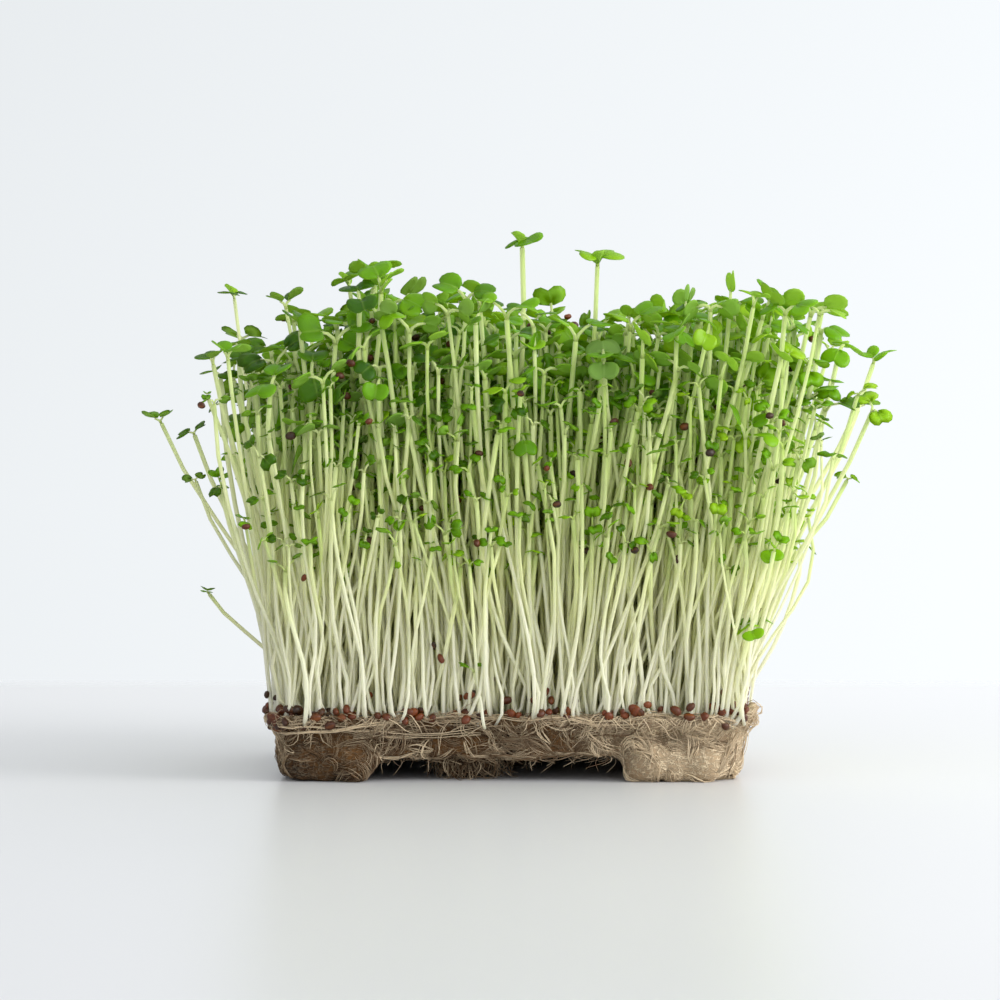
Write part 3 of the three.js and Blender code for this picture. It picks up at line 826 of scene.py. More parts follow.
class Felt:
    """The felt mat's surface, for laying roots on it."""

    def __init__(self, piece):
        places = vertex_rows(piece.data, "co") / MM
        faces = [tuple(face.vertices) for face in piece.data.polygons]
        self.tree = BVHTree.FromPolygons([Vector(place) for place in places], faces)

    def onto(self, point):
        """The nearest point of the felt and the normal there."""
        place, normal, _, _ = self.tree.find_nearest(point)
        return place, normal

    def walk(self, start, heading, steps, stride, bend, rise, rng, pull=None):
        """A path that wanders over the felt: bend is how fast it turns, rise how proud it stands half way."""
        place, normal = self.onto(Vector(start))
        heading = Vector(heading)
        curl = rng.normal(0, bend)
        path = []
        for i in range(steps):
            share = i / (steps - 1)
            lift = rise * math.sin(math.pi * share) - 0.08
            path.append(place + normal * lift)
            curl = curl * 0.82 + rng.normal(0, bend) * 0.6
            heading = heading - normal * heading.dot(normal)
            if heading.length < 1e-6:
                heading = normal.orthogonal()
            heading.normalize()
            if pull is not None:
                toward = Vector(pull) - normal * Vector(pull).dot(normal)
                heading = (heading + toward * 0.3).normalized()
            heading = Matrix.Rotation(curl, 3, normal) @ heading
            place, normal = self.onto(place + heading * stride)
        return np.array(path)


def fibre(lot, path, radius, pale, rng):
    """A thin root along a path, thinner at both ends."""
    path[:, 2] = np.maximum(path[:, 2], radius + 0.05)
    share = np.linspace(0, 1, len(path))
    radii = radius * (0.35 + 0.65 * np.sin(math.pi * np.clip(share * 0.94 + 0.03, 0, 1)) ** 0.6)
    spots = np.stack([np.full(len(path), pale), share, np.full(len(path), rng.random()), share * 0], -1)
    tube(lot, path, radii, FIBRE_SIDES, 0, spots)


def edge_point(share, inset, height):
    """A point of the mat's edge, going round it, at a height."""
    outline = np.array(mat_outline(inset))
    closed = np.vstack([outline, outline[:1]])
    lengths = np.concatenate([[0], np.cumsum(np.linalg.norm(np.diff(closed, axis=0), axis=1))])
    at = (share % 1) * lengths[-1]
    return (np.interp(at, lengths, closed[:, 0]), np.interp(at, lengths, closed[:, 1]), height)


def lock(lot, felt, spine, number, width, radius, pale, rng):
    """Fibres that run along a spine side by side; width has how far they stray at both ends and between."""
    steps = len(spine)
    share = np.linspace(0, 1, steps)
    tangent = unit(np.gradient(spine, axis=0))
    normals = np.array([felt.onto(Vector(point))[1] for point in spine])
    padded = np.pad(normals, ((2, 2), (0, 0)), mode="edge")
    normals = unit(sum(padded[i : i + steps] for i in range(5)))
    across = np.cross(tangent, normals)
    reach = np.interp(share, [0, 0.5, 1], width)
    for _ in range(number):
        aside = rng.normal(0, 1) + 0.5 * np.sin(share * spread(2, 7, rng) + spread(0, 6, rng))
        out = abs(rng.normal(0, 0.35)) * np.sin(math.pi * share) + 0.05
        path = spine + across * (reach * aside)[:, None] + normals * (out * (0.3 + reach))[:, None]
        shade = float(np.clip(pale + rng.normal(0, 0.16), 0, 1))
        fibre(lot, path, radius * spread(0.6, 1.3, rng), shade, rng)


def side_fibres(felt, count, rng):
    """Locks of fibres over the mat's sides and feet: they swirl, and neighbours run much the same way."""
    lot = Lot()
    for i in range(count):
        height = spread(0.2, 12.4, rng)
        share = rng.random() if i % 5 < 3 else spread(0.7, 1.02, rng)
        start = edge_point(share, inset_at(height), height)
        point = Vector(start)
        if (felt.onto(point)[0] - point).length > LOCK_REACH:
            continue
        turn = 5.5 * noise.noise(point * 0.085) + rng.normal(0, 0.5)
        level = Vector((-start[1], start[0], 0)).normalized()
        heading = level * math.cos(turn) + Vector((0, 0, 1)) * math.sin(turn) * 0.9
        # Painted light: pale locks grow more common towards the right, the side the light comes from
        right = float(ease((start[0] - 8) / 24))
        living_or_lit = rng.random() < 0.12 + 0.7 * right
        pale = spread(0.55, 0.95, rng) if living_or_lit else spread(0.0, 0.35, rng)
        steps = int(spread(6, 10, rng))
        stride = spread(0.7, 1.5, rng)
        spine = felt.walk(start, heading, steps, stride, 0.2, spread(0.0, 0.4, rng), rng)
        width = (0.15, spread(0.3, 0.9, rng), spread(0.1, 0.7, rng))
        radius = spread(0.045, 0.085, rng) * (1 + 0.3 * pale)
        silky = start[0] > 18 and start[1] < -30 and height < 8
        lock(lot, felt, spine, int(rng.integers(4, 8)) + 5 * silky, width, radius, pale, rng)
    return lot


def top_fibres(felt, count, rng):
    """Fibres over the mat's top, most of them near its edge."""
    lot = Lot()
    for _ in range(count):
        start = edge_point(rng.random(), 0.5 + 8 * rng.random() ** 2, MAT_TOP)
        turn = spread(0, 2 * math.pi, rng)
        heading = (math.cos(turn), math.sin(turn), 0)
        pale = float(np.clip(rng.normal(0.6, 0.25), 0, 1))
        rise = spread(0.1, 1.4, rng)
        path = felt.walk(start, heading, int(spread(7, 13, rng)), 1.2, 0.35, rise, rng)
        fibre(lot, path, spread(0.07, 0.13, rng), pale, rng)
    return lot


def rim_roots(felt, count, rng):
    """Pale roots in wavy strands along the lip, and fans of roots that come over it and down the side."""
    lot = Lot()
    for _ in range(count):
        share, reach = rng.random(), spread(0.04, 0.15, rng)
        knots = int(spread(5, 9, rng))
        heights = np.clip(spread(10.2, 12.6, rng) + rng.normal(0, 1.1, knots), 8.4, MAT_TOP + 0.4)
        steps = round(reach * 230) + 4
        part = np.linspace(0, 1, steps)
        middle = np.interp(part, np.linspace(0, 1, knots), heights)
        middle = np.convolve(np.pad(middle, 2, mode="edge"), [0.2] * 5, mode="valid")
        spine = []
        for along, height in zip(part, middle):
            place, normal = felt.onto(Vector(edge_point(share + reach * along, inset_at(height), height)))
            spine.append(place + normal * (0.1 + 0.25 * math.sin(math.pi * along)))
        pale = spread(0.6, 1.0, rng)
        width = spread(0.1, 0.9, rng, 3) * [1, 0.6, 1]
        radius = spread(0.1, 0.17, rng)
        lock(lot, felt, np.array(spine), int(rng.integers(2, 5)), width, radius, pale, rng)
    for i in range(count * 6):
        share = rng.random() if i % 2 else spread(0.7, 1.02, rng)
        start = edge_point(share, spread(0.2, 2.6, rng), MAT_TOP + 0.2)
        over = Vector(edge_point(share + rng.normal(0, 0.025), 0.2, 9.5)) - Vector(start)
        steps = int(spread(6, 12, rng))
        spine = felt.walk(start, over, steps, spread(0.7, 1.2, rng), 0.2, 0.4, rng, pull=(0, 0, -0.4))
        width = (0.12, spread(0.3, 0.7, rng), spread(0.6, 1.6, rng))
        radius = spread(0.06, 0.12, rng)
        number = int(rng.integers(2, 6))
        # Painted light: the fans are made paler towards the right, the side the light comes from
        pale = spread(0.3, 0.8, rng) + 0.2 * float(ease(start[0] / 30))
        lock(lot, felt, spine, number, width, radius, pale, rng)
    return lot


def fringe(felt, count, rng):
    """Ragged fibres that hang under the mat: along the edge of the hollow and round the middle feet."""
    lot = Lot()
    for i in range(count):
        if i % 2:
            x, y, radius = MIDDLE_FEET[0 if i % 8 < 5 else int(rng.integers(3))]
            turn = spread(0, 2 * math.pi, rng)
            reach = radius * spread(0.35, 1.05, rng)
            height = spread(3, 7, rng)
            start = np.array([x + reach * math.cos(turn), y + reach * math.sin(turn), height])
            drop = spread(2.0, 6.0, rng)
        else:
            side = -1 if rng.random() < 0.7 else 1
            x, y = spread(*RECESS_X, rng), side * spread(29.0, 35.8, rng)
            start = np.array([x, y, FOOT_HEIGHT + 0.4])
            drop = spread(0.6, 3.4, rng) * (0.6 if rng.random() < 0.7 else 1.3)
        place, _ = felt.onto(Vector(start))
        steps = 8
        share = np.linspace(0, 1, steps)
        swing = rng.normal(0, 1.5, 2)
        curl = rng.normal(0, 0.7, 2)
        path = np.empty((steps, 3))
        for axis in (0, 1):
            path[:, axis] = place[axis] + swing[axis] * share**1.5 + curl[axis] * np.sin(share * 4)
        path[:, 2] = np.maximum(place.z + 0.5 - drop * share**0.8, 0.15)
        pale = float(np.clip(rng.normal(0.2, 0.25), 0, 1))
        fibre(lot, path, spread(0.05, 0.12, rng), pale, rng)
    return lot


def hull(lot, centre, size, turn, tilt, red, slot, rng):
    """An empty seed hull: an egg with a seam, cracked open along it."""
    rows, columns = 7, 10
    lat = np.linspace(0, math.pi, rows)[:, None]
    lon = (np.arange(columns) / columns * 2 * math.pi)[None, :]
    gape = 0.34 * np.exp(-((np.minimum(lon, 2 * math.pi - lon) / 0.55) ** 2)) * np.sin(lat)
    radius = size * (1 - gape) * (1 + 0.06 * np.cos(lon * 3 + size))
    x = radius * np.sin(lat) * np.cos(lon) * 0.86
    y = radius * np.sin(lat) * np.sin(lon) * 0.92
    z = size * 1.2 * np.cos(lat) * np.ones_like(lon)
    shape = np.stack([x, y, z], -1)
    matrix = Matrix.Rotation(turn, 3, "Z") @ Matrix.Rotation(tilt, 3, "X") @ Matrix.Rotation(turn * 3, 3, "Z")
    places = shape @ np.array(matrix).T + centre
    # Painted highlight: the orange of lit hull edges, laid along the crack where the shell is thin
    thin = np.clip(gape * 1.6 + spread(-0.3, 0.2, rng), 0, 1)
    spots = np.stack([np.full_like(x, red), thin, np.full_like(x, rng.random()), x * 0], -1)
    lot.add(places, spots, [grid_faces(rows, columns, True)], slot)


def drop_hull(lot, felt, spot, lift, darker_left, rng):
    """One hull lying on the felt near a spot, or on other hulls at a lift."""
    place, normal = felt.onto(Vector(spot))
    size = spread(0.78, 1.08, rng)
    centre = np.array(place + normal * size * 0.5) + [0, 0, lift]
    red = float(np.clip(rng.normal(0.72 - 0.6 * darker_left, 0.35), 0, 1))
    hull(lot, centre, size, spread(0, 6.3, rng), spread(0.8, 2.2, rng), red, 0, rng)


def mat_hulls(felt, rng):
    """Hulls on the mat's top: clusters of one to three along the edge, and piles that reach over it."""
    lot = Lot()
    for i in range(HULL_CLUSTERS):
        share = (i + 0.8 * rng.random()) / HULL_CLUSTERS
        inset = -0.1 + 3.4 * rng.random() ** 1.8
        x, y, z = edge_point(share, inset, MAT_TOP + 0.5)
        # Hulls are made darker towards the mat's left corner
        darker_left = float(ease((-28 - x) / 14))
        for layer in range(int(rng.integers(1, 4))):
            spot = (x + rng.normal(0, 1.3), y + rng.normal(0, 0.6), z)
            caught = 4 * rng.random() ** 4
            drop_hull(lot, felt, spot, layer * spread(0.2, 0.9, rng) + caught, darker_left, rng)
    for x, y, z, number in HULL_PILES:
        for _ in range(number):
            spot = np.array((x, y, z)) + rng.normal(0, 1, 3) * [1.7, 0.7, 0.8]
            drop_hull(lot, felt, spot, spread(0, 1.4, rng), float(ease((-30 - x) / 8)), rng)
    return lot


class Draws:
    """The seeded draws that place the sprouts of the solids."""

    def __init__(self, seed):
        self.state = seed

    def between(self, low, high):
        self.state = (self.state * 1664525 + 1013904223) % 4294967296
        return low + ((high - low) * self.state) / 4294967296


def tuft_centre(column, row):
    return ((column - (COLUMNS - 1) / 2) * COLUMN_PITCH, (row - (ROWS - 1) / 2) * ROW_PITCH)


def bezier(points, share):
    """Points of a cubic curve."""
    t = np.asarray(share)[:, None]
    a, b, c, d = (np.array(point, float) for point in points)
    return (1 - t) ** 3 * a + 3 * (1 - t) ** 2 * t * b + 3 * (1 - t) * t**2 * c + t**3 * d


def leaf_axes(turn, rise, roll):
    """The three directions of one leaf: along it, across it and out of its upper face."""
    along = np.array([math.cos(rise) * math.cos(turn), math.cos(rise) * math.sin(turn), math.sin(rise)])
    level = np.array([-math.sin(turn), math.cos(turn), 0.0])
    across = level * math.cos(roll) + np.cross(along, level) * math.sin(roll)
    return along, across, np.cross(along, across)


class Sprout:
    """Where one sprout roots, how its stem runs and how its leaves lie."""

    def __init__(self, root, tip, bow, size, turn, rises, roll, tilt=None):
        rise = (tip[2] - MAT_TOP) * STEM_RISE
        self.root = np.array([root[0], root[1], MAT_TOP - STEM_SUNK])
        self.tip = np.array(tip, float)
        self.size = size
        self.turn = turn
        self.rises = rises
        self.roll = roll
        self.tilt = np.eye(3) if tilt is None else tilt
        self.stalk = LEAF_START
        pulled = [tip[axis] + (root[axis] - tip[axis]) * STEM_PULL for axis in (0, 1)]
        low = (root[0] + bow[0], root[1] + bow[1], MAT_TOP + rise)
        self.controls = [self.root, low, (*pulled, tip[2] - rise), tip]

    def hook(self, turn, stalk):
        """Bends the stem's head aside and sets how long the leaf stalks are for leaves of full size."""
        x, y, z = self.controls[2]
        self.controls[2] = (x + turn[0], y + turn[1], z)
        self.stalk = stalk

    def leaves(self):
        """The axes of both leaves."""
        near = leaf_axes(self.turn, self.rises[0], self.roll)
        far = leaf_axes(self.turn + math.pi, self.rises[1], -self.roll)
        return [[self.tilt @ axis for axis in axes] for axes in (near, far)]

    def stem(self, share):
        return bezier(self.controls, share)

    def balls(self):
        """The balls that stand for the sprout when its room is tested, as rows of centre and radius."""
        steps = math.ceil((self.tip[2] - MAT_TOP) / STEM_BALL_STEP)
        line = self.stem(np.arange(steps) / steps)
        line = line[line[:, 2] > MAT_TOP + CLEAR_ABOVE_MAT]
        rows = [np.column_stack([line, np.full(len(line), STEM_BALL)])]
        u, v = (LEAF_BALLS * self.size).T
        bend = BLADE_CUP * v * v - BLADE_DROOP * u * u
        for along, across, out in self.leaves():
            points = self.tip + np.outer(u, along) + np.outer(v, across) + np.outer(bend, out)
            rows.append(np.column_stack([points, np.full(len(points), LEAF_BALL)]))
        return np.concatenate(rows)


def is_clear(balls, taken):
    """True if no ball meets one that is taken."""
    if not len(taken):
        return True
    low, high = balls[:, :3].min(0) - 3, balls[:, :3].max(0) + 3
    near = taken[((taken[:, :3] > low) & (taken[:, :3] < high)).all(1)]
    gaps = ((balls[:, None, :3] - near[None, :, :3]) ** 2).sum(-1)
    return not (gaps < (balls[:, None, 3] + near[None, :, 3]) ** 2).any()


def stray(between, middle):
    """A draw close to a middle value."""
    return between(middle - OUTLIER_STRAY, middle + OUTLIER_STRAY)


class Tufts:
    """The tufts of the solids, with the sprouts that stand in each."""

    def __init__(self):
        self.draws = Draws(SEED)
        self.taken = np.empty((0, 4))
        self.wanting = np.zeros((ROWS, COLUMNS), int)
        self.sprouts = [[[] for _ in range(COLUMNS)] for _ in range(ROWS)]
        self.plant()

    def root_of(self, row, column):
        angle = ((self.wanting[row, column] + ROOT_TURN) / STEMS_PER_TUFT) * 2 * math.pi
        self.wanting[row, column] += 1
        x, y = tuft_centre(column, row)
        return x + STEM_SPREAD * math.cos(angle), y + STEM_SPREAD * math.sin(angle)

    def grow(self, row, column, tip_of, size_of):
        """Places the next sprout of a tuft, tried again until it is clear of those before it."""
        between = self.draws.between
        root = self.root_of(row, column)
        for _ in range(TRIES):
            tip = tip_of(between)
            bow = (between(-STEM_BOW, STEM_BOW), between(-STEM_BOW, STEM_BOW))
            size = size_of(between)
            turn = between(0, 2 * math.pi)
            rises = tuple(math.radians(1) * between(*RISE_BAND) for _ in range(2))
            roll = math.radians(1) * between(*ROLL_BAND)
            sprout = Sprout(root, tip, bow, size, turn, rises, roll)
            balls = sprout.balls()
            if is_clear(balls, self.taken):
                self.taken = np.concatenate([self.taken, balls])
                self.sprouts[row][column].append(sprout)
                return

    def plant(self):
        for (column, row), place, size in OUTLIERS:
            self.grow(
                row,
                column,
                lambda between, place=place: tuple(stray(between, middle) for middle in place),
                lambda between, size=size: size,
            )
        for band in range(STEMS_PER_TUFT):
            for row in range(ROWS):
                for column in range(COLUMNS):
                    ring = min(row, ROWS - 1 - row, column, COLUMNS - 1 - column)
                    shaded = band == LOWEST_BAND and ring > 0
                    if self.wanting[row, column] <= band and not shaded:
                        self.grow(
                            row,
                            column,
                            self.fanned(tuft_centre(column, row), band),
                            lambda between, band=band: between(*SIZE_BANDS[band]),
                        )

    def fanned(self, centre, band):
        """How the tip of a sprout is drawn that leans out from its tuft's centre."""

        def tip_of(between):
            z = between(*HEIGHT_BANDS[band])
            fan = 1 + FAN * (z / CANOPY_HEIGHT) ** FAN_POWER
            x = centre[0] * fan + between(-WANDER, WANDER)
            return (x, centre[1] * fan + between(-WANDER, WANDER), z)

        return tip_of


class Thicket:
    """The room in the block as small cells, so that filling sprouts find a free place."""

    def __init__(self, low, high):
        self.low = np.array(low)
        self.shape = np.ceil((np.array(high) - self.low) / CELL).astype(int)
        self.full = np.zeros(self.shape, bool)

    def cells(self, points):
        index = ((points - self.low) / CELL).astype(int)
        return tuple(np.clip(index, 0, self.shape - 1).T)

    def crowding(self, points):
        return int(self.full[self.cells(points)].sum())

    def fill(self, points):
        self.full[self.cells(points)] = True


def room_points(sprout):
    """Points of a sprout that take up room: its stem above the mat and its leaves."""
    line = sprout.stem(np.linspace(0.12, 1, 60))
    u, v = np.meshgrid(np.linspace(1, 5.2, 5), np.linspace(-3, 3, 5))
    u, v = u.ravel() * sprout.size, v.ravel() * sprout.size
    rows = [line]
    for along, across, _ in sprout.leaves():
        rows.append(sprout.tip + np.outer(u, along) + np.outer(v, across))
    return np.concatenate(rows)


def pull_in(x, y):
    """A root's place, kept on the mat's top."""
    half_width, half_depth = MAT_WIDTH / 2 - 1.2, MAT_DEPTH / 2 - 1.2
    x, y = max(-half_width, min(half_width, x)), max(-half_depth, min(half_depth, y))
    corner_x, corner_y = half_width - CORNER_RADIUS, half_depth - CORNER_RADIUS
    over_x, over_y = abs(x) - corner_x, abs(y) - corner_y
    if over_x > 0 and over_y > 0:
        over = math.hypot(over_x, over_y)
        if over > CORNER_RADIUS:
            x = math.copysign(corner_x + over_x * CORNER_RADIUS / over, x)
            y = math.copysign(corner_y + over_y * CORNER_RADIUS / over, y)
    return x, y


def tipped(x, y, rng):
    """The turn that tips a pair of leaves outwards: most at the block's edge."""
    out_x, out_y = x / (MAT_WIDTH / 2), y / (MAT_DEPTH / 2)
    mean, scatter = TIP_OUT
    angle = math.radians(rng.normal(mean * min(1.0, max(abs(out_x), abs(out_y))) ** 2, scatter))
    heading = math.atan2(out_y, out_x) + rng.normal(0, 0.6)
    axis = Vector((-math.sin(heading), math.cos(heading), 0))
    return np.array(Matrix.Rotation(angle, 3, axis))


def leaning(x, y):
    """How far the stems round a place lean by the time they reach the canopy: they lean in bundles."""
    front = float(ease((12 - y) / 36))
    field = [noise.noise(Vector((x * 0.05, y * 0.05, level))) for level in (3.1, 8.7)]
    lean = float(np.interp(x, *zip(*LEAN))) * front
    return lean + field[0] * FILL_FIELD, field[1] * FILL_FIELD * 0.6


def fill_sprout(x, y, rng, thicket, low_leaves=False):
    """One filling sprout rooted at a place, in the least crowded of a few tries."""
    best = None
    lean_x, lean_y = leaning(x, y)
    fan_x = FILL_FAN_LEFT if x < 0 else FILL_FAN_RIGHT
    front = y < FRONT_STRIP - MAT_DEPTH / 2
    shares = np.cumsum(FILL_SHARES[2 if low_leaves else 0 if front else 1])
    for _ in range(FILL_TRIES):
        band = min(int(np.searchsorted(shares, rng.random())), len(FILL_HEIGHTS) - 1)
        low, high = FILL_HEIGHTS[band]
        z = spread(low, high, rng)
        if band == 0:
            z += float(np.interp(x * 1.1, *zip(*CROWN))) - high
        climb = (z / CANOPY_HEIGHT) ** FAN_POWER
        tip_x = x + (x * fan_x + lean_x) * climb + rng.normal(0, FILL_WANDER)
        forward = spread(*FILL_LOW_FORWARD, rng) if low_leaves else 0.0
        tip_y = y - forward + (y * FILL_FAN_DEEP + lean_y) * climb + rng.normal(0, FILL_WANDER)
        tip_y = float(np.clip(tip_y, *FILL_DEPTH))
        sprout = Sprout(
            (x, y),
            (tip_x, tip_y, z),
            rng.normal(0, FILL_BOW, 2),
            spread(*FILL_SIZES[band], rng),
            spread(0, 2 * math.pi, rng),
            tuple(math.radians(rng.normal(*RISE)) for _ in range(2)),
            math.radians(rng.normal(0, ROLL)),
            tipped(tip_x, tip_y, rng),
        )
        sprout.hook(rng.normal(0, FILL_HOOK, 2), spread(*FILL_STALK, rng))
        points = room_points(sprout)
        crowd = thicket.crowding(points)
        if best is None or crowd < best[0]:
            best = (crowd, sprout, points)
        if crowd == 0:
            break
    thicket.fill(best[2])
    return best[1]


def fill_roots(rng):
    """Where the filling sprouts root: all over the mat, and closer together round its edge."""
    places = []
    for i in range(COLUMNS * FILL_ACROSS):
        for j in range(ROWS * FILL_DEEP):
            x = ((i + 0.5) / FILL_ACROSS - COLUMNS / 2) * COLUMN_PITCH
            y = ((j + 0.5) / FILL_DEEP - ROWS / 2) * ROW_PITCH
            stray = spread(-FILL_JITTER, FILL_JITTER, rng, 2)
            places.append(pull_in(x + stray[0], y + stray[1]))
    around = round(2 * (MAT_WIDTH + MAT_DEPTH) / FILL_EDGE_PITCH)
    for i in range(around):
        share = (i + 0.7 * rng.random()) / around
        places.append(edge_point(share, spread(0.9, 2.8, rng), MAT_TOP)[:2])
    return places


def tuft_at(x, y):
    """The row and column of the tuft in whose patch of the mat a place lies."""
    row = math.floor(y / ROW_PITCH + ROWS / 2)
    column = math.floor(x / COLUMN_PITCH + COLUMNS / 2)
    return min(max(row, 0), ROWS - 1), min(max(column, 0), COLUMNS - 1)


def leaf_outline(angle):
    """A notched seed leaf's reach from its neck, for full size, at angles from its midrib."""
    rounded = np.maximum(np.cos(angle * LEAF_SPAN), 0.02) ** LEAF_ROUND
    notch = 1 - NOTCH_DEPTH * np.exp(-((np.abs(angle) / NOTCH_WIDTH) ** 1.3))
    return LEAF_LENGTH * rounded * notch


def toothed_outline(angle):
    """A first true leaf's reach from its neck: longer than wide, with a toothed edge."""
    body = np.maximum(np.cos(angle * 0.92), 0.02) ** 1.5
    return LEAF_LENGTH * 1.15 * body * (1 + 0.09 * np.abs(np.sin(angle * 5.5)))


def blade(lot, base, axes, size, outline, form, tone, detail, slot):
    """A leaf blade: a fan of rings from its neck to its edge, doubled to a thin closed body."""
    along, across, out = axes
    fold, cup, droop, ripple, phase = form
    columns, rings = detail
    blunt = len(rings) == 4
    angle = np.linspace(-LEAF_REACH, LEAF_REACH, columns)
    share = np.array(rings)[:, None]
    reach = outline(angle)[None, :] * share * size
    u, v = reach * np.cos(angle), reach * np.sin(angle)
    edge = share**2 * ripple * size * np.sin(angle * 4 + phase)
    bend = fold * np.abs(v) + (cup * v * v + droop * u * u) / size + edge
    thick = LEAF_THICKNESS * (0.55 + 0.45 * size) * (1 - 0.55 * share**3) / 2 + 0 * u
    count = len(rings) * columns
    rim_loop = np.concatenate(
        [
            np.arange(columns),
            np.arange(2, len(rings) + 1) * columns - 1,
            np.arange(count - 2, count - columns - 1, -1),
            np.arange(len(rings) - 2, 0, -1) * columns,
        ]
    )
    upper = grid_faces(len(rings), columns, False)
    spot_u = np.clip(share * np.cos(angle * 0.8), 0, 1)
    spot_v = 0.5 + 0.5 * np.sin(angle) * share
    spots = np.stack([spot_u, spot_v, np.full_like(u, tone), np.zeros_like(u)], -1).reshape(-1, 4)
    under = spots + [0, 0, 0, 1]
    kept = np.ones(count, bool)
    if not blunt:
        thick.ravel()[rim_loop] = 0
        kept[rim_loop] = False
    middle = base + u[..., None] * along + v[..., None] * across
    top = (middle + (bend + thick)[..., None] * out).reshape(-1, 3)
    bottom = (middle + (bend - thick)[..., None] * out).reshape(-1, 3)
    index = np.arange(count)
    index[kept] = count + np.arange(kept.sum())
    faces = [upper, index[upper[:, ::-1]]]
    if blunt:
        after = np.roll(rim_loop, -1)
        faces.append(np.stack([after, rim_loop, index[rim_loop], index[after]], -1))
    lot.add(np.concatenate([top, bottom[kept]]), np.concatenate([spots, under[kept]]), faces, slot)


def detail_of(sprout):
    """How finely a sprout's stem and its leaves are made."""
    x, y = sprout.root[:2]
    if y < FRONT_STRIP - MAT_DEPTH / 2 and sprout.size < SMALL_SIZE:
        return EDGE_STEM, INNER_LEAF
    if y < FINE_STRIP - MAT_DEPTH / 2 or (sprout.tip[2] > FINE_ABOVE and y < 0):
        return FINE_STEM, FINE_LEAF
    if y > MAT_DEPTH / 2 - BACK_STRIP or abs(x) > MAT_WIDTH / 2 - END_STRIP or y < EDGE_STRIP - MAT_DEPTH / 2:
        return EDGE_STEM, EDGE_LEAF
    return INNER_STEM, (EDGE_LEAF if sprout.tip[2] > EDGE_ABOVE else INNER_LEAF)


def caught_hull(lot, centre, redness, sizes, tilt, rng):
    """A hull that is still caught on a sprout."""
    red = float(np.clip(rng.normal(redness, 0.35), 0, 1))
    hull(lot, centre, spread(*sizes, rng), spread(0, 6.3, rng), tilt, red, 2, rng)


def sprout_mesh(lot, sprout, rng):
    """A sprout in full: its stem, two stalks, two notched leaves, and at times a true leaf or a hull."""
    # A sprout's tone differs at random, and rises towards the right as painted light from that side; its stem
    # and leaves both take it up
    tone = float(np.clip(rng.normal(0.45 + 0.19 * sprout.tip[0] / 50, 0.25), 0, 1))
    young = 1 - min(1, (sprout.tip[2] - 30) / 65)
    (steps, sides, joints, stalk_sides), leaf_detail = detail_of(sprout)
    share = 0.02 + 0.98 * np.linspace(0, 1, steps) ** 1.4
    path = sprout.stem(share)
    height = sprout.tip[2] - MAT_TOP
    wave = rng.normal(0, 0.015 * height, 2)
    turns = spread(1.0, 2.4, rng)
    kink = rng.normal(0, KINK, 2)
    if abs(sprout.root[0]) > MAT_WIDTH / 2 - 6:
        kink[0] = -math.copysign(kink[0], sprout.root[0])
    # How far inside the block a stem roots, kept in the spot's fourth number: the stem material paints shade
    # by it
    depth = min(MAT_WIDTH / 2 - abs(sprout.root[0]), MAT_DEPTH / 2 - abs(sprout.root[1]))
    inner = float(ease((depth - 2) / 12))
    for axis in (0, 1):
        sway = wave[axis] * np.sin(share * turns * math.pi + axis) * share * (1 - share) * 4
        path[:, axis] += sway + kink[axis] * (share / KINK_PLACE / 2) ** 2 * np.exp(2 - share / KINK_PLACE)
    end = unit(path[-1] - path[-2])
    fork = path[-1] - end * (FORK_DROP + 0.5 * (sprout.stalk - LEAF_START)) * sprout.size
    path[-1] = fork
    thick = 0.78 + 0.3 * sprout.size
    radii = thick * np.interp(share, [0, 0.3, 1], STEM_RADII) * spread(0.85, 1.28, rng)
    up = share * (0.75 + 0.25 * min(1, height / 75))
    spots = np.stack([up, share, share * 0 + tone, share * 0 + inner], -1)
    tube(lot, path, radii, sides, 0, spots)
    for number, axes in enumerate(sprout.leaves()):
        along, _, out = axes
        size = sprout.size * (1.08 if number else 0.94)
        base = sprout.tip + along * sprout.stalk * size
        pull = (0.5 + 0.3 * sprout.stalk) * size
        bend = [fork, fork + end * pull, base - along * pull, base + along * 0.5 * size]
        stalk = bezier(bend, np.linspace(0, 1, joints))
        stalk -= np.outer(np.linspace(0, 0.12, joints), out)
        stalk_radii = thick * np.interp(np.linspace(0, 1, joints), [0, 0.5, 1], PETIOLE_RADII) * size**0.4
        marks = np.tile([0.95, 0.5, tone, inner], (joints, 1))
        tube(lot, stalk, stalk_radii, stalk_sides, 0, marks)
        form = [spread(*band, rng) for band in LEAF_FORMS]
        leaf_tone = float(np.clip(tone + rng.normal(0, 0.08 + 0.12 * young) - 0.03 + 0.04 * young, 0, 1))
        blade(lot, base, axes, size, leaf_outline, form, leaf_tone, leaf_detail, 1)
    if sprout.tip[2] > TRUE_LEAF_ABOVE and sprout.size >= 0.8:
        axes = leaf_axes(sprout.turn + 1.4, math.radians(62), 0.2)
        detail = (TRUE_LEAF_COLUMNS, FINE_LEAF[1])
        blade(lot, fork + axes[0] * 0.6, axes, 0.55, toothed_outline, TRUE_LEAF_FORM, 0.85, detail, 1)
    if rng.random() < TIP_HULLS:
        along, _, out = sprout.leaves()[0]
        centre = sprout.tip + along * (sprout.stalk + LEAF_LENGTH * 0.86) * sprout.size - out * 0.6
        caught_hull(lot, centre, 0.3, (0.7, 0.95), 1.4, rng)
    if rng.random() < STEM_HULLS:
        centre = path[int(rng.integers(1, steps - 1))] + np.append(rng.normal(0, 0.5, 2), 0)
        caught_hull(lot, centre, 0.6, (0.6, 0.9), 0.6, rng)


class Operation(bpy.types.Operator):
    """What the block's operators have in common."""

    bl_options = {"REGISTER", "UNDO"}


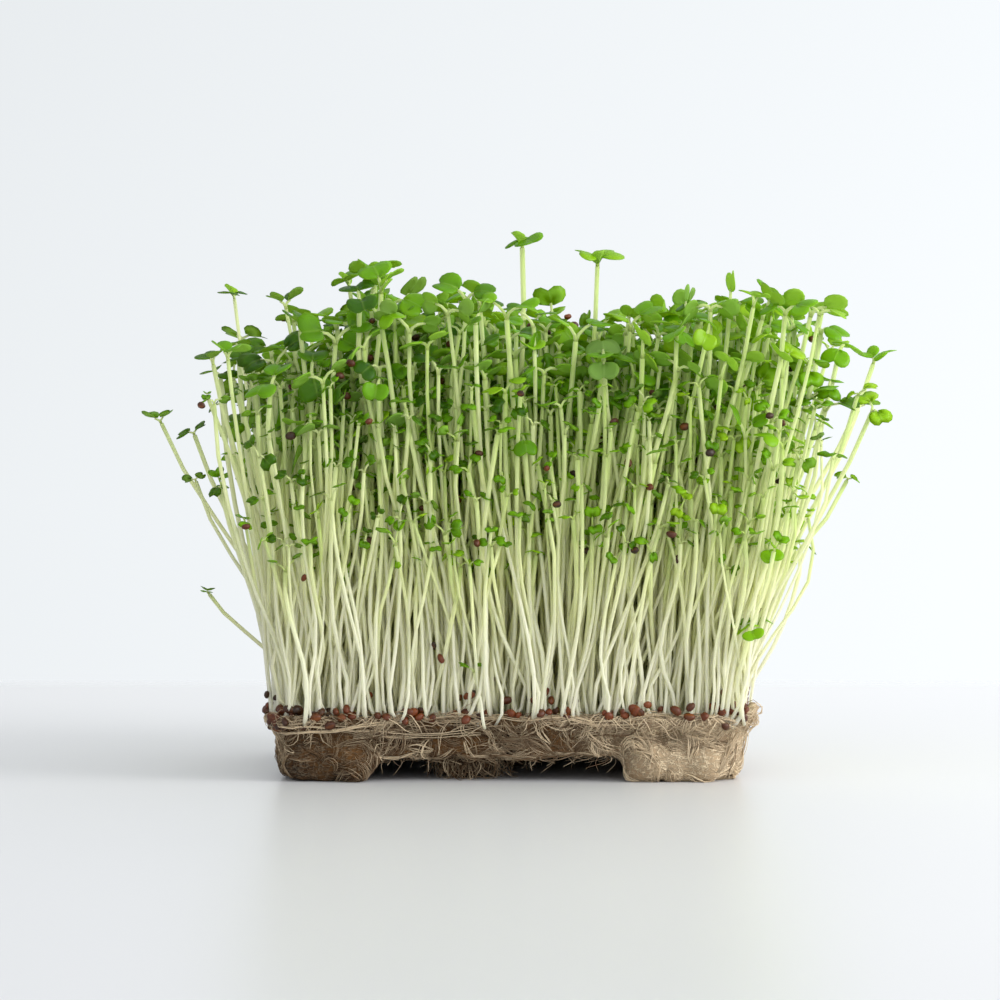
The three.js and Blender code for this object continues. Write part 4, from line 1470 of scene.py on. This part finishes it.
class MICROGREENS_OT_stage(Operation):
    """Lays the table, sets the soft light and places the camera"""

    bl_idname = "microgreens.stage"
    bl_label = "Table, light and camera"

    def execute(self, context):
        settings = context.scene.microgreens_stage
        self.table(settings)
        self.surround(context, settings)
        self.lamp("window", *WINDOW_LAMP, settings.key_power)
        self.lamp("behind", *BACK_LAMP, settings.rim_power).visible_glossy = False
        camera = bpy.data.objects.new("camera", bpy.data.cameras.new("camera"))
        camera.data.lens = CAMERA_LENS
        camera.data.sensor_width = 36
        camera.data.clip_start = 0.01
        camera.location = Vector(CAMERA_PLACE) * MM
        camera.rotation_euler = (math.pi / 2, 0, 0)
        context.scene.collection.objects.link(camera)
        context.scene.camera = camera
        context.scene.view_settings.view_transform = "Standard"
        return {"FINISHED"}

    def table(self, settings):
        """A wide table top that fades out at its far edge."""
        rows = (TABLE_FRONT, TABLE_BACK + 6)
        places = np.array([[(x, y, 0.0) for x in (-TABLE_SIDE, TABLE_SIDE)] for y in rows])
        lot = Lot()
        lot.add(places, np.zeros((2, 2, 4)), [grid_faces(2, 2, False)[:, ::-1]], 0)
        table = bpy.data.objects.new("table", lot.mesh("table"))
        table.data.materials.append(table_material(settings))
        bpy.context.scene.collection.objects.link(table)

    def surround(self, context, settings):
        """Light from all round: brightest on the right and behind."""
        world = bpy.data.worlds.new("surround")
        context.scene.world = world
        shader = Shader(world)
        direction = shader.node("ShaderNodeTexCoord", {}, {})[0]
        x, y, z = shader.node("ShaderNodeSeparateXYZ", {}, {0: direction})
        level = 1.12 + x * 0.33 + x * abs(x) * 0.15 - y * 0.15 + (abs(y) - y) * 0.17 - (abs(z) + z) * 0.13
        shade = shader.node("ShaderNodeMapRange", {}, {0: level, 1: 0.2, 2: 2.4, 3: 0.2, 4: 2.4})[0]
        values = {"Color": (*settings.sky, 1), "Strength": shade}
        light = shader.node("ShaderNodeBackground", {}, values)[0]
        shader.node("ShaderNodeOutputWorld", {}, {"Surface": light})

    def lamp(self, name, place, target, size, power):
        light = bpy.data.lights.new(name, "AREA")
        light.shape = "DISK"
        light.size = size * MM
        light.energy = power
        lamp = bpy.data.objects.new(name, light)
        lamp.location = Vector(place) * MM
        aim = (Vector(target) - Vector(place)).to_track_quat("-Z", "Y")
        lamp.rotation_euler = aim.to_euler()
        lamp.visible_camera = False
        bpy.context.scene.collection.objects.link(lamp)
        return lamp


class MICROGREENS_OT_mat(Operation):
    """Makes the felt mat with its lip and feet"""

    bl_idname = "microgreens.mat"
    bl_label = "Felt mat"

    def execute(self, context):
        felt_mat(context.scene.microgreens_mat)
        return {"FINISHED"}


class MICROGREENS_OT_roots(Operation):
    """Lays roots and fibres over, round and under the mat"""

    bl_idname = "microgreens.roots"
    bl_label = "Roots and fibres"

    def execute(self, context):
        settings = context.scene.microgreens_mat
        felt = Felt(bpy.data.objects["felt_mat"])
        material = root_material(settings)
        rng = np.random.default_rng(SEED)
        lots = {
            "side_fibres": side_fibres(felt, settings.side_fibres, rng),
            "top_fibres": top_fibres(felt, settings.top_fibres, rng),
            "rim_roots": rim_roots(felt, settings.rim_roots, rng),
            "root_fringe": fringe(felt, settings.fringe_fibres, rng),
        }
        for name, lot in lots.items():
            piece_of(lot, name, [material])
        return {"FINISHED"}


class MICROGREENS_OT_hulls(Operation):
    """Drops seed hulls on the mat"""

    bl_idname = "microgreens.hulls"
    bl_label = "Seed hulls"

    def execute(self, context):
        felt = Felt(bpy.data.objects["felt_mat"])
        rng = np.random.default_rng(SEED + 1)
        material = hull_material(context.scene.microgreens_mat)
        piece_of(mat_hulls(felt, rng), "seed_hulls", [material])
        return {"FINISHED"}


class MICROGREENS_OT_sprouts(Operation):
    """Grows the sprouts, one piece for each tuft"""

    bl_idname = "microgreens.sprouts"
    bl_label = "Sprouts"

    def execute(self, context):
        settings = context.scene.microgreens_sprouts
        hulls = hull_material(context.scene.microgreens_mat)
        materials = [stem_material(settings), leaf_material(settings), hulls]
        tufts = Tufts()
        thicket = Thicket(THICKET_LOW, THICKET_HIGH)
        for row in tufts.sprouts:
            for tuft in row:
                for sprout in tuft:
                    thicket.fill(room_points(sprout))
        for root, tip, size, turn, rises, roll in POSED:
            row, column = tuft_at(*root)
            rises = tuple(math.radians(rise) for rise in rises)
            posed = Sprout(root, tip, POSED_BOW, size, math.radians(turn), rises, math.radians(roll))
            posed.hook((0, 0), POSED_STALK)
            tufts.sprouts[row][column].append(posed)
            thicket.fill(room_points(posed))
        rng = np.random.default_rng(SEED + 2)
        for x, y in fill_roots(rng):
            row, column = tuft_at(x, y)
            tuft = tufts.sprouts[row][column]
            gaps = [math.hypot(x - other.root[0], y - other.root[1]) for other in tuft]
            if min(gaps, default=9) > ROOT_GAP:
                tuft.append(fill_sprout(x, y, rng, thicket))
        for _ in range(FILL_LOW):
            x, y = pull_in(spread(*FILL_LOW_WIDTH, rng), spread(*FILL_LOW_DEPTH, rng))
            row, column = tuft_at(x, y)
            tufts.sprouts[row][column].append(fill_sprout(x, y, rng, thicket, low_leaves=True))
        for row in range(ROWS):
            for column in range(COLUMNS):
                lot = Lot()
                for sprout in tufts.sprouts[row][column]:
                    sprout_mesh(lot, sprout, rng)
                name = f"sprout_clump_row{row + 1}_col{column + 1}"
                piece = piece_of(lot, name, materials)
                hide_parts(f"sprouts_row{row + 1}_col{column + 1}")
        return {"FINISHED"}


class MICROGREENS_PT_panel(bpy.types.Panel):
    """Lists the parts of the block"""

    bl_idname = "MICROGREENS_PT_panel"
    bl_label = "Microgreens block"
    bl_space_type = "VIEW_3D"
    bl_region_type = "UI"
    bl_category = "Microgreens"

    def draw(self, context):
        scene = context.scene
        for group in (scene.microgreens_mat, scene.microgreens_sprouts, scene.microgreens_stage):
            box = self.layout.box()
            for name in group.__annotations__:
                box.prop(group, name)
        for operator in OPERATORS:
            self.layout.operator(operator.bl_idname)


OPERATORS = (
    MICROGREENS_OT_stage,
    MICROGREENS_OT_mat,
    MICROGREENS_OT_roots,
    MICROGREENS_OT_hulls,
    MICROGREENS_OT_sprouts,
)
CLASSES = (MatSettings, SproutSettings, StageSettings, *OPERATORS, MICROGREENS_PT_panel)


def register():
    for item in CLASSES:
        bpy.utils.register_class(item)
    bpy.types.Scene.microgreens_mat = bpy.props.PointerProperty(type=MatSettings)
    bpy.types.Scene.microgreens_sprouts = bpy.props.PointerProperty(type=SproutSettings)
    bpy.types.Scene.microgreens_stage = bpy.props.PointerProperty(type=StageSettings)


def unregister():
    del bpy.types.Scene.microgreens_stage
    del bpy.types.Scene.microgreens_sprouts
    del bpy.types.Scene.microgreens_mat
    for item in reversed(CLASSES):
        bpy.utils.unregister_class(item)


def main():
    register()
    bpy.ops.microgreens.stage()
    bpy.ops.microgreens.mat()
    bpy.ops.microgreens.roots()
    bpy.ops.microgreens.hulls()
    bpy.ops.microgreens.sprouts()


if __name__ == "__main__":
    main()
